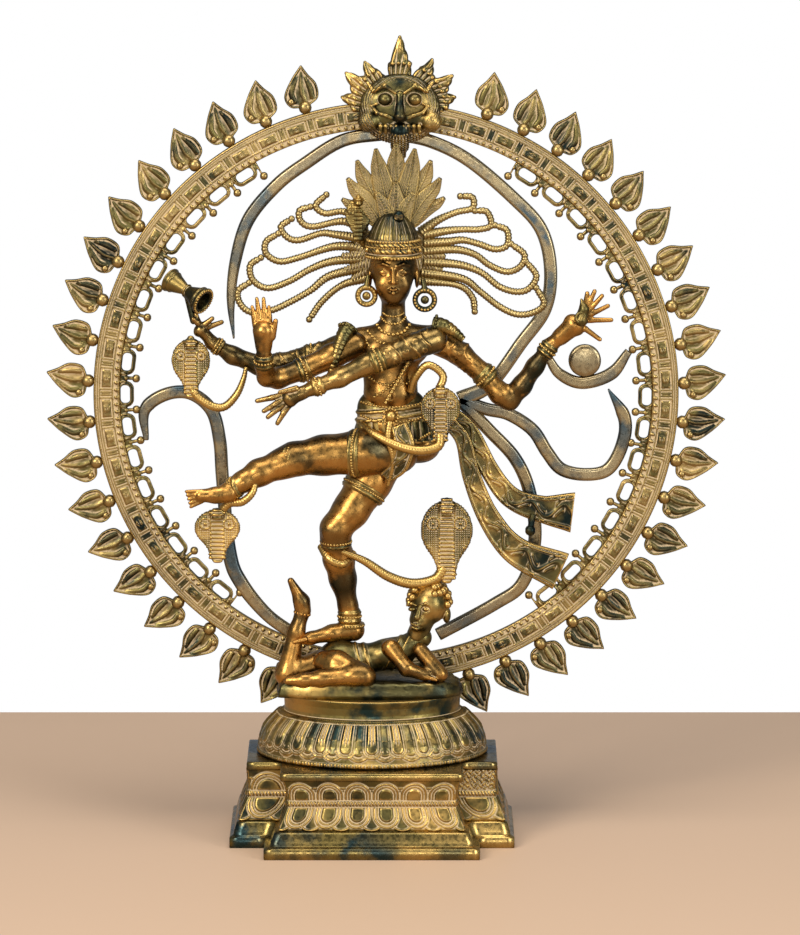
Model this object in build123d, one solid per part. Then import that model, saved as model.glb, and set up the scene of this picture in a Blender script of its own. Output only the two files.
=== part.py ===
"""Brass nataraja statue: a dancing figure in a ring of flames, on a lotus drum and a stepped plinth.

Millimetres, +Z up. +X is to the viewer's right and +Y points away from the viewer.
The origin is the centre of the plinth's underside.
Every casting is one node. The figure and the ring bolt through the drum, the drum through the plinth.
"""
import os
from math import cos, pi, radians, sin, tan

from build123d import *

# ---- driving dimensions -------------------------------------------------------------------------

# Plinth: a wide block crossed by a narrower, deeper one, hollow and open underneath
PLINTH_HEIGHT = 63.0
SIDE_FOOT_WIDTH = 213.4
SIDE_FOOT_DEPTH = 109.0
FRONT_FOOT_WIDTH = 160.6
FRONT_FOOT_DEPTH = 188.0
PLINTH_WALL = 4.0
PLINTH_TOP = 6.0
# level as a share of the height, inset of the front block, inset of the side block
PLINTH_LEVELS = [
    (0.000, 0.0, 0.0),
    (0.130, 0.0, 0.0),
    (0.150, 5.0, 3.0),
    (0.300, 8.0, 5.5),
    (0.325, 11.3, 7.0),
    (0.570, 17.6, 13.5),
    (0.590, 16.6, 13.0),
    (0.650, 16.6, 13.0),
    (0.670, 18.0, 14.5),
    (0.895, 15.0, 13.6),
    (0.905, 12.2, 12.8),
    (1.000, 12.2, 12.8),
]
PLINTH_PETAL_PITCH = 21.0
PLINTH_PETAL_RISE = 1.2

# Lotus drum
DRUM_HEIGHT = 47.0
DRUM_WIDTH = 168.0
DRUM_DEPTH = 136.0
DRUM_TOP_WIDTH = 135.0
DRUM_TOP_DEPTH = 96.0
DRUM_WALL = 4.0
DRUM_TOP = 6.0
DRUM_PETALS = 24
DRUM_PETAL_RISE = 1.6

# Ring of flames
RING_RADIUS = 220.3
RING_LEAN = 2.7
RING_CLEARANCE = 1.7
RING_PLANE = 28.0
BAND_WIDTH = 19.5
BAND_THICKNESS = 9.0
LATTICE_WIDTH = 10.0
LATTICE_THICKNESS = 6.0
LATTICE_HOLE_WIDTH = 6.6
LATTICE_HOLE_LENGTH = 14.5
LATTICE_PITCH = 7.4
LATTICE_LEFT = (119.0, 234.0)
LATTICE_RIGHT = (-55.0, 61.0)
LATTICE_BEAD = 6.5
CARTOUCHES = 58
FLAME_LENGTH = 31.5
FLAME_WIDTH = 26.0
FLAME_THICKNESS = 5.5
FLAME_BALL = 10.4
FLAMES_RIGHT = (-73.8, 70.3, 20)
FLAMES_LEFT = (105.6, 249.4, 19)

# Openwork bars inside the ring
BAR_WIDTH = 10.0
BAR_THICKNESS = 6.5
DISC_DIAMETER = 24.5

# Fasteners: M8 for the figure and the ring, M6 for the drum
STUD = 8.0
STUD_NUT_FLATS = 13.0
STUD_NUT_HEIGHT = 6.5
BOLT = 6.0
BOLT_NUT_FLATS = 10.0
BOLT_NUT_HEIGHT = 5.0
WASHER = 1.6
HOLE_CLEARANCE = 0.4
STUD_SPACING = 60.0
STUD_GRIP = 8.4
RING_STUD_GRIP = 1.5
STUD_TAIL = 4.0
RING_STUD_SPACING = 40.0
BOLT_SPACING = 96.0

# Figure
FIGURE_SIZE = 1.0
HAIR_DIAMETER = 4.6
HAIR_STAGGER = 1.3
HAIR_PLANE = 14.0
SASH_THICKNESS = 4.0
HOOD_THICKNESS = 6.0

# ---- places worked out from them ----------------------------------------------------------------

DRUM_TOP_Z = PLINTH_HEIGHT + DRUM_HEIGHT
RING_REACH = RING_RADIUS + RING_CLEARANCE
RING_X = RING_REACH * sin(radians(RING_LEAN))
RING_Z = DRUM_TOP_Z + RING_REACH * cos(radians(RING_LEAN))
BAND_INSIDE = RING_RADIUS - BAND_WIDTH
LATTICE_INSIDE = BAND_INSIDE - LATTICE_WIDTH
SLAB_HEIGHT = 12.0 * FIGURE_SIZE
RING_FRONT = RING_PLANE - BAND_THICKNESS / 2

CENTRED_LOW = (Align.CENTER, Align.CENTER, Align.MIN)
CENTRED_HIGH = (Align.CENTER, Align.CENTER, Align.MAX)


def fig(x, y, z):
    """A point of the figure, given above the middle of the drum's top."""
    return Vector(x * FIGURE_SIZE, y * FIGURE_SIZE, DRUM_TOP_Z + z * FIGURE_SIZE)


def ring(radius, angle):
    """A point (x, z) in the ring's plane, angle in degrees anticlockwise from +X."""
    return RING_X + radius * cos(radians(angle)), RING_Z + radius * sin(radians(angle))


def place(x, z):
    """A point (x, z) of the figure in the ring's plane."""
    point = fig(x, 0, z)
    return point.X, point.Z


# ---- shaping helpers ----------------------------------------------------------------------------


def bulk(piece):
    """The piece without loose crumbs that trimming may leave."""
    solids = piece.solids()
    largest = max(solid.volume for solid in solids)
    kept = [solid for solid in solids if solid.volume > 0.02 * largest]
    return Compound(children=kept) if len(kept) > 1 else kept[0]


def near(one, other):
    """Whether the boxes around two shapes meet."""
    a, b = one.bounding_box(), other.bounding_box()
    return all(
        low_a <= high_b and low_b <= high_a
        for low_a, high_a, low_b, high_b in zip(a.min, a.max, b.min, b.max)
    )


def bed(piece, *neighbours):
    """Trim a piece so that it beds against its neighbours instead of entering them."""
    for neighbour in neighbours:
        for solid in neighbour.solids():
            if near(piece, solid):
                piece = piece - solid
    return bulk(piece)


def joined(parts):
    """Several overlapping solids as one."""
    parts = list(parts)
    return parts[0] if len(parts) == 1 else parts[0] + parts[1:]


def ball(point, radius):
    return Pos(*point) * Sphere(radius)


def taper(start, end, start_radius, end_radius):
    """A round bar between two points."""
    run = Vector(*end) - Vector(*start)
    frame = Plane(origin=Vector(*start), z_dir=run)
    if abs(start_radius - end_radius) < 0.05:
        return frame * Cylinder(start_radius, run.length, align=CENTRED_LOW)
    return frame * Cone(start_radius, end_radius, run.length, align=CENTRED_LOW)


def limb(*stations):
    """A rounded limb through (point, radius) stations."""
    parts = [ball(point, radius) for point, radius in stations]
    for (start, r0), (end, r1) in zip(stations, stations[1:]):
        parts.append(taper(start, end, 0.985 * r0, 0.985 * r1))
    return joined(parts)


def sleeve(*stations):
    """A smooth limb lofted through round sections at (point, radius) stations, with flat ends."""
    points = [Vector(*point) for point, radius in stations]
    runs = [(after - before).normalized() for before, after in zip(points, points[1:])]
    sections = []
    for index, (point, radius) in enumerate(stations):
        run = runs[max(index - 1, 0)] + runs[min(index, len(runs) - 1)]
        sections.append(Plane(origin=points[index], x_dir=Vector(0, 1, 0).cross(run),
            z_dir=run) * Circle(radius))
    return loft(sections)


def bent_rod(points, radius):
    """A round rod through points, with as large a bend at each as its two runs allow."""
    points = [Vector(*point) for point in points]
    bends = []
    for before, corner, after in zip(points, points[1:], points[2:]):
        turn = radians((corner - before).get_angle(after - corner))
        shorter = min((corner - before).length, (after - corner).length)
        bends.append(0.45 * shorter / tan(turn / 2))
    path = FilletPolyline(*points, radius=bends)
    section = Plane(origin=path @ 0, z_dir=path % 0) * Circle(radius)
    return sweep(section, path=path)


def flat_plane(y):
    """Drawing plane at depth y: local x is X, local y is Z, extruding goes towards -Y."""
    return Plane(origin=(0, y, 0), x_dir=(1, 0, 0), z_dir=(0, -1, 0))


def plate(outline, middle, thickness):
    """A flat plate in the ring's direction from a face drawn in (x, z)."""
    return extrude(flat_plane(middle + thickness / 2) * outline, thickness)


def ribbon(points, widths, middle, thickness):
    """A flat bar along a smooth line through (x, z) points, its width varying evenly between them."""
    line = Spline(*points)
    steps = 6 * (len(points) - 1)
    left, right = [], []
    for step in range(steps + 1):
        t = step / steps
        share = t * (len(widths) - 1)
        index = min(int(share), len(widths) - 2)
        half = (widths[index] + (share - index) * (widths[index + 1] - widths[index])) / 2
        spot, along = line @ t, line % t
        left.append((spot.X - along.Y * half, spot.Y + along.X * half))
        right.append((spot.X + along.Y * half, spot.Y - along.X * half))
    edges = Spline(*left) + Line(left[-1], right[-1]) + Spline(*right) + Line(left[0], right[0])
    return plate(make_face(edges), middle, thickness)


def smooth_plate(points, middle, thickness):
    """A flat plate with a smooth closed outline through (x, z) points."""
    return plate(make_face(Spline(*points, periodic=True)), middle, thickness)


def arch(width, height):
    """An upright U-shaped petal outline, its round end up, standing on y = 0."""
    radius = width / 2
    return Pos(0, (height - radius) / 2) * Rectangle(width, height - radius) + Pos(0,
        height - radius) * Circle(radius)


def nut(flats, height, bore):
    body = extrude(RegularPolygon(flats / 2, 6, major_radius=False), height)
    return body - Cylinder(bore / 2, height, align=CENTRED_LOW)


def washer(bore, outside):
    return Cylinder(outside / 2, WASHER, align=CENTRED_LOW) - Cylinder(
        bore / 2, WASHER, align=CENTRED_LOW
    )


# ---- base ---------------------------------------------------------------------------------------


def plinth_block(width, depth, insets):
    """One stepped block of the plinth, lofted level by level."""
    slices = []
    for (low, a), (high, b) in zip(insets, insets[1:]):
        bottom = Pos(0, 0, low) * Rectangle(width - 2 * a, depth - 2 * a)
        top = Pos(0, 0, high) * Rectangle(width - 2 * b, depth - 2 * b)
        slices.append(loft([bottom, top], ruled=True))
    return joined(slices)


def petal_row(width, depth, low, high, low_inset, high_inset, point_up):
    """Petals in relief on the front and back slopes of a plinth block."""
    count = max(1, int((width - 2 * max(low_inset, high_inset)) // PLINTH_PETAL_PITCH))
    rise = ((high - low) ** 2 + (high_inset - low_inset) ** 2) ** 0.5
    petal = arch(0.82 * PLINTH_PETAL_PITCH, 0.86 * rise)
    petals = []
    for side in (-1, 1):
        face_low = Vector(0, side * (depth / 2 - low_inset), low)
        face_high = Vector(0, side * (depth / 2 - high_inset), high)
        start, up = (face_low, face_high - face_low) if point_up else (face_high, face_low - face_high)
        across = Vector(1, 0, 0)
        outward = across.cross(up) if (across.cross(up).Y > 0) == (side > 0) else up.cross(across)
        slope = Plane(origin=start, x_dir=up.cross(outward), z_dir=outward)
        for index in range(count):
            shift = (index - (count - 1) / 2) * PLINTH_PETAL_PITCH
            outline = slope * Pos(shift, 0) * petal
            petals.append(extrude(outline, PLINTH_PETAL_RISE, dir=outward.normalized()))
            petals.append(extrude(outline, PLINTH_WALL / 2, dir=-outward.normalized()))
    return petals


def bolt_places():
    return [(side * BOLT_SPACING / 2, 0) for side in (-1, 1)]


def stud_places():
    return [(side * STUD_SPACING / 2, -12.0) for side in (-1, 1)]


def ring_stud_places():
    return [(side * RING_STUD_SPACING / 2, RING_PLANE) for side in (-1, 1)]


def make_plinth():
    front = [(share * PLINTH_HEIGHT, inset) for share, inset, _ in PLINTH_LEVELS]
    sides = [(share * PLINTH_HEIGHT, inset) for share, _, inset in PLINTH_LEVELS]
    body = plinth_block(FRONT_FOOT_WIDTH, FRONT_FOOT_DEPTH, front)
    body += plinth_block(SIDE_FOOT_WIDTH, SIDE_FOOT_DEPTH, sides)
    for width, depth, levels in (
        (FRONT_FOOT_WIDTH, FRONT_FOOT_DEPTH, front),
        (SIDE_FOOT_WIDTH, SIDE_FOOT_DEPTH, sides),
    ):
        lower = petal_row(width, depth, levels[4][0], levels[5][0], levels[4][1], levels[5][1], False)
        upper = petal_row(width, depth, levels[8][0], levels[9][0], levels[8][1], levels[9][1], True)
        body += lower + upper
    inset = max(level[1] for level in PLINTH_LEVELS) + PLINTH_WALL
    side_inset = max(level[2] for level in PLINTH_LEVELS) + PLINTH_WALL
    hollow = Box(FRONT_FOOT_WIDTH - 2 * inset, FRONT_FOOT_DEPTH - 2 * inset, PLINTH_HEIGHT - PLINTH_TOP,
        align=CENTRED_LOW)
    hollow += Box(SIDE_FOOT_WIDTH - 2 * side_inset, SIDE_FOOT_DEPTH - 2 * side_inset,
        PLINTH_HEIGHT - PLINTH_TOP, align=CENTRED_LOW)
    body -= hollow
    for x, y in bolt_places():
        body -= Pos(x, y, 0) * Cylinder((BOLT + HOLE_CLEARANCE) / 2, PLINTH_HEIGHT, align=CENTRED_LOW)
    for x, y in stud_places() + ring_stud_places():
        reach = STUD_NUT_FLATS
        body -= Pos(x, y, PLINTH_HEIGHT - PLINTH_TOP) * Cylinder(reach, PLINTH_TOP, align=CENTRED_LOW)
    return body


DRUM_LEVELS = [
    # share of the height, share of the way out from the top's half size to the bottom's
    (0.00, 0.97),
    (0.05, 1.00),
    (0.12, 0.98),
    (0.40, 0.74),
    (0.58, 0.40),
    (0.69, 0.06),
]


def drum_section(share, out, shrink=0.0):
    half_width = DRUM_TOP_WIDTH / 2 + out * (DRUM_WIDTH - DRUM_TOP_WIDTH) / 2 - shrink
    half_depth = DRUM_TOP_DEPTH / 2 + out * (DRUM_DEPTH - DRUM_TOP_DEPTH) / 2 - shrink
    return Pos(0, 0, PLINTH_HEIGHT + share * DRUM_HEIGHT) * Ellipse(half_width, half_depth)


def make_drum():
    bowl = loft([drum_section(share, out) for share, out in DRUM_LEVELS])
    neck_low = DRUM_LEVELS[-1][0]
    neck = loft([drum_section(neck_low, -0.05), drum_section(0.86, -0.08), drum_section(1.0, 0.0)])
    body = bowl + neck
    low, high = 0.14, 0.64
    petals = []
    for index in range(DRUM_PETALS):
        turn = 2 * pi * (index + 0.5) / DRUM_PETALS
        spots = []
        for share, out in ((low, 0.97), (high, 0.24)):
            half_width = DRUM_TOP_WIDTH / 2 + out * (DRUM_WIDTH - DRUM_TOP_WIDTH) / 2
            half_depth = DRUM_TOP_DEPTH / 2 + out * (DRUM_DEPTH - DRUM_TOP_DEPTH) / 2
            spots.append(
                Vector(half_width * cos(turn), half_depth * sin(turn), PLINTH_HEIGHT + share * DRUM_HEIGHT)
            )
        down = spots[0] - spots[1]
        around = Vector(-DRUM_WIDTH * sin(turn), DRUM_DEPTH * cos(turn), 0).normalized()
        outward = down.cross(around).normalized()
        if outward.Z < 0:
            outward = outward * -1
        pitch = around.length * pi * (DRUM_WIDTH + DRUM_DEPTH) / 2 / DRUM_PETALS
        slope = Plane(origin=spots[1], x_dir=down.cross(outward), z_dir=outward)
        outline = slope * arch(0.74 * pitch, down.length)
        petals.append(extrude(outline, 2.2 + DRUM_PETAL_RISE, dir=outward))
    body += petals
    hollow = loft([drum_section(0.0, 0.94, DRUM_WALL), drum_section(0.60, 0.30, DRUM_WALL)])
    hollow += extrude(drum_section(0.60, -0.05, DRUM_WALL + 1), (0.4 * DRUM_HEIGHT - DRUM_TOP))
    body -= hollow
    rib = Pos(0, 0, PLINTH_HEIGHT) * Box(BOLT_SPACING + 34, 16, 5, align=CENTRED_LOW)
    body += rib & Pos(0, 0, PLINTH_HEIGHT) * extrude(Ellipse(DRUM_WIDTH / 2 - 3, DRUM_DEPTH / 2 - 3), 5)
    for x, y in bolt_places():
        body -= Pos(x, y, PLINTH_HEIGHT) * Cylinder((BOLT + HOLE_CLEARANCE) / 2, 5, align=CENTRED_LOW)
    for x, y in stud_places() + ring_stud_places():
        body -= Pos(x, y, DRUM_TOP_Z - DRUM_TOP - 4) * Cylinder((STUD + HOLE_CLEARANCE) / 2, DRUM_TOP + 4,
            align=CENTRED_LOW)
    return body


def stud_set():
    """Studs of the figure and of the ring, each with a washer and a nut under the drum's top plate."""
    under = DRUM_TOP_Z - DRUM_TOP
    bottom = under - WASHER - STUD_NUT_HEIGHT - STUD_TAIL
    studs, washers, nuts = [], [], []
    for places, grip in ((stud_places(), STUD_GRIP), (ring_stud_places(), RING_STUD_GRIP)):
        for x, y in places:
            top = DRUM_TOP_Z + grip
            studs.append(Pos(x, y, top) * Cylinder(STUD / 2, top - bottom, align=CENTRED_HIGH))
            washers.append(Pos(x, y, under - WASHER) * washer(STUD + HOLE_CLEARANCE, 2 * STUD))
            nuts.append(Pos(x, y, under - WASHER - STUD_NUT_HEIGHT) * nut(STUD_NUT_FLATS, STUD_NUT_HEIGHT,
                STUD))
    return Compound(children=studs), Compound(children=washers), Compound(children=nuts)


def drum_bolt_set():
    """Hexagon bolts down through the drum's rib and the plinth's top."""
    bolts, nuts = [], []
    rib_top = PLINTH_HEIGHT + 5
    under = PLINTH_HEIGHT - PLINTH_TOP
    for x, y in bolt_places():
        head = extrude(RegularPolygon(BOLT_NUT_FLATS / 2, 6, major_radius=False), 4)
        shank = Cylinder(BOLT / 2, rib_top - under + BOLT_NUT_HEIGHT + 4, align=CENTRED_HIGH)
        bolts.append(Pos(x, y, rib_top) * (head + shank))
        nuts.append(Pos(x, y, under - BOLT_NUT_HEIGHT) * nut(BOLT_NUT_FLATS, BOLT_NUT_HEIGHT, BOLT))
    return Compound(children=bolts), Compound(children=nuts)


# ---- ring ---------------------------------------------------------------------------------------


def make_band():
    half = BAND_THICKNESS / 2
    floor = half - 1.3
    section = [
        (0.0, half - 0.6), (1.6, half - 0.4), (3.6, half), (5.4, half), (6.2, floor),
        (13.6, floor), (14.6, half), (17.2, half), (18.0, half - 0.6), (BAND_WIDTH, half - 0.8),
    ]
    front = [(BAND_INSIDE + r, y) for r, y in section]
    back = [(r, -y) for r, y in reversed(front)]
    profile = make_face(Polyline(*front, *back, close=True))
    band = revolve(profile, Axis.Y)
    boss = plate(Ellipse(4.6, 2.9), 0, 2 * half - 0.8)
    middle = BAND_INSIDE + 9.9
    bosses = []
    for index in range(CARTOUCHES):
        angle = 360 * index / CARTOUCHES
        bosses.append(Rot(0, -angle, 0) * Pos(middle, 0, 0) * Rot(0, 90, 0) * boss)
    band += bosses
    return Pos(RING_X, RING_PLANE, RING_Z) * band


def lattice_sector(first, last):
    """One stretch of the open lattice inside the band, with a bead at every strut."""
    count = round((last - first) / LATTICE_PITCH)
    pitch = (last - first) / count
    sector = Circle(BAND_INSIDE) - Circle(LATTICE_INSIDE)
    far = 2 * RING_RADIUS
    swept = (last - first) / 3
    corners = [(far * cos(radians(first + k * swept)),
        far * sin(radians(first + k * swept))) for k in range(4)]
    sector = sector & make_face(Polyline((0, 0), *corners, close=True))
    hole = RectangleRounded(LATTICE_HOLE_WIDTH, LATTICE_HOLE_LENGTH, 0.35 * LATTICE_HOLE_WIDTH)
    middle = BAND_INSIDE - 0.9 - LATTICE_HOLE_WIDTH / 2
    for index in range(count):
        sector -= Rot(0, 0, first + (index + 0.5) * pitch) * Pos(middle, 0) * hole
    lattice = plate(sector, 0, LATTICE_THICKNESS)
    beads = []
    for index in range(count + 1):
        x, z = LATTICE_INSIDE - LATTICE_BEAD / 2 + 0.8, first + index * pitch
        beads.append(ball((x * cos(radians(z)), 0, x * sin(radians(z))), LATTICE_BEAD / 2))
    lattice += beads
    return Pos(RING_X, RING_PLANE, RING_Z) * lattice


def flame(side):
    """One leaf-shaped flame with its balls, rooted at the origin and pointing along +x."""
    length, half = FLAME_LENGTH, FLAME_WIDTH / 2
    edge = side * half
    tip = (length, 0.42 * edge)
    low_root = (0, -0.22 * edge)
    high_root = (0, 0.22 * edge)
    right = Spline(low_root, (0.10 * length, -0.86 * edge), (0.42 * length, -0.90 * edge), tip)
    left = Spline(high_root, (0.16 * length, 0.92 * edge), (0.55 * length, 0.96 * edge), tip)
    leaf = make_face(right + left + Line(low_root, high_root))
    lobes = []
    for shift in (-0.32, 0.28):
        lobes.append(Pos(0.42 * length, side * shift * half) * Rot(0, 0, side * 9) * Ellipse(0.24 * length,
            0.2 * half))
    body = plate(leaf, 0, FLAME_THICKNESS - 1.6)
    body += [plate(lobe, 0, FLAME_THICKNESS) for lobe in lobes]
    return body


def make_flames(first, last, count, side):
    """Flames with the ball that carries each one on the band's edge."""
    pieces = []
    pitch = (last - first) / (count - 1)
    leaf = flame(side)
    root = RING_RADIUS + FLAME_BALL * 0.45
    shape = Pos(root, 0, 0) * leaf
    shape += ball((RING_RADIUS + FLAME_BALL / 2 - 0.6, 0, 0), FLAME_BALL / 2)
    shape += ball((root + 0.6, 0, -side * 0.30 * FLAME_WIDTH), 0.3 * FLAME_BALL)
    rim = Rot(90, 0, 0) * Cylinder(RING_RADIUS, 2 * FLAME_BALL)
    shape = bulk(shape - rim)
    for index in range(count):
        pieces.append(Pos(RING_X, RING_PLANE, RING_Z) * Rot(0, -(first + index * pitch), 0) * shape)
    return Compound(children=pieces)


def make_kirtimukha(band):
    """The lion mask at the crown of the ring: a leaf crown behind and a domed mask in front."""
    tip = 90 - RING_LEAN
    x0, z0 = ring(RING_RADIUS, tip)
    points = []
    spikes = ((-43, 4), (-40, 22), (-26, 30), (0, 49), (24, 32), (39, 20), (41, 4))
    for (x, z), (x2, z2) in zip(spikes, spikes[1:]):
        points.append((x0 + x, z0 + z))
        points.append((x0 + 0.44 * (x + x2), z0 + 0.36 * (z + z2) + 4))
    points += [(x0 + spikes[-1][0], z0 + spikes[-1][1]), (x0 + 30, z0 - 9), (x0 - 30, z0 - 9)]
    crown = plate(make_face(Polyline(*points, close=True)), RING_PLANE, 7.0) - band
    dome = Pos(x0, RING_FRONT, z0 - 4) * scale(Sphere(1), by=(31, 12, 27))
    dome = dome & Pos(x0, RING_FRONT, z0 - 4) * Box(90, 30, 90,
        align=(Align.CENTER, Align.MAX, Align.CENTER))
    eyes = [ball((x0 + side * 11, RING_FRONT - 11, z0 + 5), 5.5) for side in (-1, 1)]
    cheeks = [ball((x0 + side * 24, RING_FRONT - 5, z0 - 14), 7.5) for side in (-1, 1)]
    nose = limb(((x0, RING_FRONT - 11, z0 + 2), 3.0), ((x0, RING_FRONT - 14, z0 - 8), 5.0))
    tongue = ribbon([(x0, z0 - 18), (x0 + 0.5, z0 - 28), (x0, z0 - 39)], [18, 15, 10], RING_FRONT - 5, 4)
    mask = bed(joined([dome, nose, tongue] + eyes + cheeks), band, crown)
    return bulk(crown), mask


def make_ring_foot(band):
    """The saddle under the ring, flat on the drum and hollowed to the band's edge."""
    block = Pos(0, RING_PLANE, DRUM_TOP_Z) * Box(RING_STUD_SPACING + 20, BAND_THICKNESS + 3, 9,
        align=CENTRED_LOW)
    disc = Pos(RING_X, RING_PLANE, RING_Z) * (Rot(90, 0, 0) * Cylinder(RING_RADIUS, 40))
    for x, y in ring_stud_places():
        block -= Pos(x, y, DRUM_TOP_Z) * Cylinder(STUD / 2, RING_STUD_GRIP, align=CENTRED_LOW)
    return bulk(block - disc)


# ---- openwork bars ------------------------------------------------------------------------------


def make_bars(band, lattices):
    """Flat bars between the ring and the space around the figure."""
    inside = LATTICE_INSIDE - LATTICE_BEAD + 1.0
    w = BAR_WIDTH
    t = BAR_THICKNESS
    y = RING_PLANE
    meeting = place(66, 217)
    bars = {}
    bars["bar_top_left"] = ribbon(
        [ring(BAND_INSIDE - 4, 90), ring(BAND_INSIDE - 6.5, 99.5), place(-50, 396), place(-72, 379),
         place(-93, 353), place(-103, 320), place(-106, 290), place(-104, 264)],
        [w, w, w, w, w, 0.9 * w, 0.7 * w, 1.5], y, t)
    bars["bar_top_right"] = ribbon(
        [ring(BAND_INSIDE - 4, 88), ring(BAND_INSIDE - 7, 80), place(73, 398), place(107, 369),
         place(127, 346), place(134, 316), place(130, 286), place(112, 260), place(89, 229), meeting],
        [w, w, w, w, w, w, w, w, w, 1.3 * w], y, t)
    bars["bar_lower_right"] = ribbon(
        [meeting, place(88, 194), place(108, 172), place(119, 146), place(123, 110), ring(178, -54.5),
         ring(181, -63), ring(189, -78)],
        [w, w, w, w, w, w, w, w], y, t)
    bars["bar_lower_left"] = ribbon(
        [ring(inside - 1, 191), ring(inside - 3, 184), place(-156, 221), place(-137, 222), place(-121, 209),
         place(-115, 186), place(-113, 157), place(-108, 100), ring(182, -127), ring(192, -118), ring(198,
             -110)],
        [4, w, w, w, w, w, w, 1.1 * w, 1.1 * w, w, w], y, t)
    bars["bar_tail"] = ribbon(
        [meeting, place(86, 210), place(103, 206), place(121, 194), place(132, 177), place(143, 164),
         place(161, 160), place(178, 164), ring(inside - 3, -12.5), ring(inside - 4.5, -6), place(178,
             225)],
        [w, w, w, w, w, w, w, w, w, w, 1.5], y, t)
    bars["bar_crescent"] = ribbon(
        [place(132, 250), place(141, 237), place(158, 230), place(180, 237), ring(inside, 10.0)],
        [6, 9, w, w, 6], y, t)
    bars["bar_disc"] = plate(Pos(*place(160, 247)) * Circle(DISC_DIAMETER / 2), y, t)
    order = list(bars)
    for index, name in enumerate(order):
        earlier = [bars[other] for other in order[:index]]
        bars[name] = bed(bars[name], band, *lattices, *earlier)
    return bars


# ---- figure: dwarf and ground -------------------------------------------------------------------


def make_slab():
    outline = [(-70, -30), (-40, -37), (10, -38), (50, -34), (66, -20), (66, 4), (52, 16), (0, 18.5),
        (-50, 17), (-70, 6)]
    slices = []
    for share, size in ((0.0, 1.0), (0.6, 0.97), (1.0, 0.9)):
        points = [(x * FIGURE_SIZE * size, y * FIGURE_SIZE * size) for x, y in outline]
        level = DRUM_TOP_Z + share * SLAB_HEIGHT
        slices.append(Pos(0, 0, level) * make_face(Spline(*points, periodic=True)))
    slab = loft(slices)
    for x, y in stud_places():
        slab -= Pos(x, y, DRUM_TOP_Z) * Cylinder(STUD / 2, STUD_GRIP, align=CENTRED_LOW)
    return slab


def make_dwarf():
    s = FIGURE_SIZE
    body = limb(
        (fig(-26, -8, 24), 14 * s), (fig(-6, -8, 24), 12 * s), (fig(10, -8, 28), 13 * s), (fig(30, -8, 34),
            11 * s),
        (fig(38, -9, 42), 8 * s),
    )
    head = limb((fig(42, -12, 60), 14 * s), (fig(43, -12, 72), 14.5 * s), (fig(40, -6, 80), 11 * s))
    head += limb((fig(34, -24, 66), 1.6 * s), (fig(33, -27, 60), 2.6 * s))
    legs = sleeve(
        (fig(-36, -16, 25), 8 * s), (fig(-27, -20, 23), 11 * s), (fig(-8, -29, 17),
            8.5 * s), (fig(-3, -31, 15.5), 5 * s),
    )
    legs += sleeve(
        (fig(-4, -32, 17), 5 * s), (fig(-12, -32, 17), 7.5 * s), (fig(-38, -32.5, 15), 6.5 * s),
        (fig(-52, -33, 14), 4.6 * s), (fig(-62, -33, 13.5), 3.6 * s),
    )
    raised = limb(
        (fig(-34, -2, 22), 11 * s), (fig(-64, -10, 14), 8 * s), (fig(-57, -8, 46),
            6 * s), (fig(-52, -6, 62), 5 * s),
        (fig(-52, -6, 68), 5.5 * s), (fig(-60, -8, 84), 3.2 * s),
    )
    arms = limb((fig(14, -20, 36), 7 * s), (fig(26, -28, 22), 5.5 * s), (fig(38, -26, 17), 5 * s))
    arms += limb((fig(36, -18, 34), 5.5 * s), (fig(50, -24, 18), 7 * s))
    return body, head, legs, raised, arms


# ---- figure: body -------------------------------------------------------------------------------


def make_torso():
    """Hips, waist and chest as one lofted trunk with a neck."""
    s = FIGURE_SIZE
    stations = (
        (20, -2, 172, 17, 13), (19, -2, 182, 26, 16), (17, -1, 198, 26, 17), (14, -1, 216, 23, 14),
        (14, -2, 232, 21, 13), (15, -3, 246, 24, 15), (17, -3, 260, 28, 16), (17, -2, 272, 30, 13),
        (16, -2, 281, 15, 10), (16, -3, 290, 9, 9),
    )
    sections = []
    for x, y, z, a, b in stations:
        sections.append(Plane(origin=fig(x, y, z), z_dir=(0, 0, 1)) * Ellipse(a * s, b * s))
    return loft(sections)


def make_head():
    s = FIGURE_SIZE
    skull = limb((fig(16, -5, 306), 14.5 * s), (fig(16, -3, 318), 18 * s), (fig(16, -2, 328), 17.5 * s))
    jaw = limb((fig(16, -12, 300), 7 * s), (fig(16, -10, 306), 10 * s))
    neck = limb((fig(16, -3, 286), 9.5 * s), (fig(16, -3, 298), 9 * s))
    nose = limb((fig(16, -20, 321), 1.6 * s), (fig(16, -23.5, 313), 2.8 * s))
    lips = limb((fig(12.5, -19, 306.5), 1.6 * s), (fig(16, -20.5, 306), 1.9 * s),
        (fig(19.5, -19, 306.5), 1.6 * s))
    eyes = [limb((fig(16 + side * 4, -19, 321), 1.8 * s),
        (fig(16 + side * 10, -17, 321.5), 1.6 * s)) for side in (-1, 1)]
    return joined([skull, jaw, neck, nose, lips] + eyes)


def make_crown():
    """Beaded headband and the tall wrapped crown."""
    s = FIGURE_SIZE
    profile = [(0, 333), (20, 333), (21, 336), (20, 343), (17, 346), (15, 353), (12, 358), (8, 362),
        (0, 363)]
    face = make_face(Polyline(*[(r * s, DRUM_TOP_Z + z * s) for r, z in profile], close=True))
    return Pos(16 * s, -3 * s, 0) * revolve(Plane.XZ * face, Axis.Z)


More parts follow.
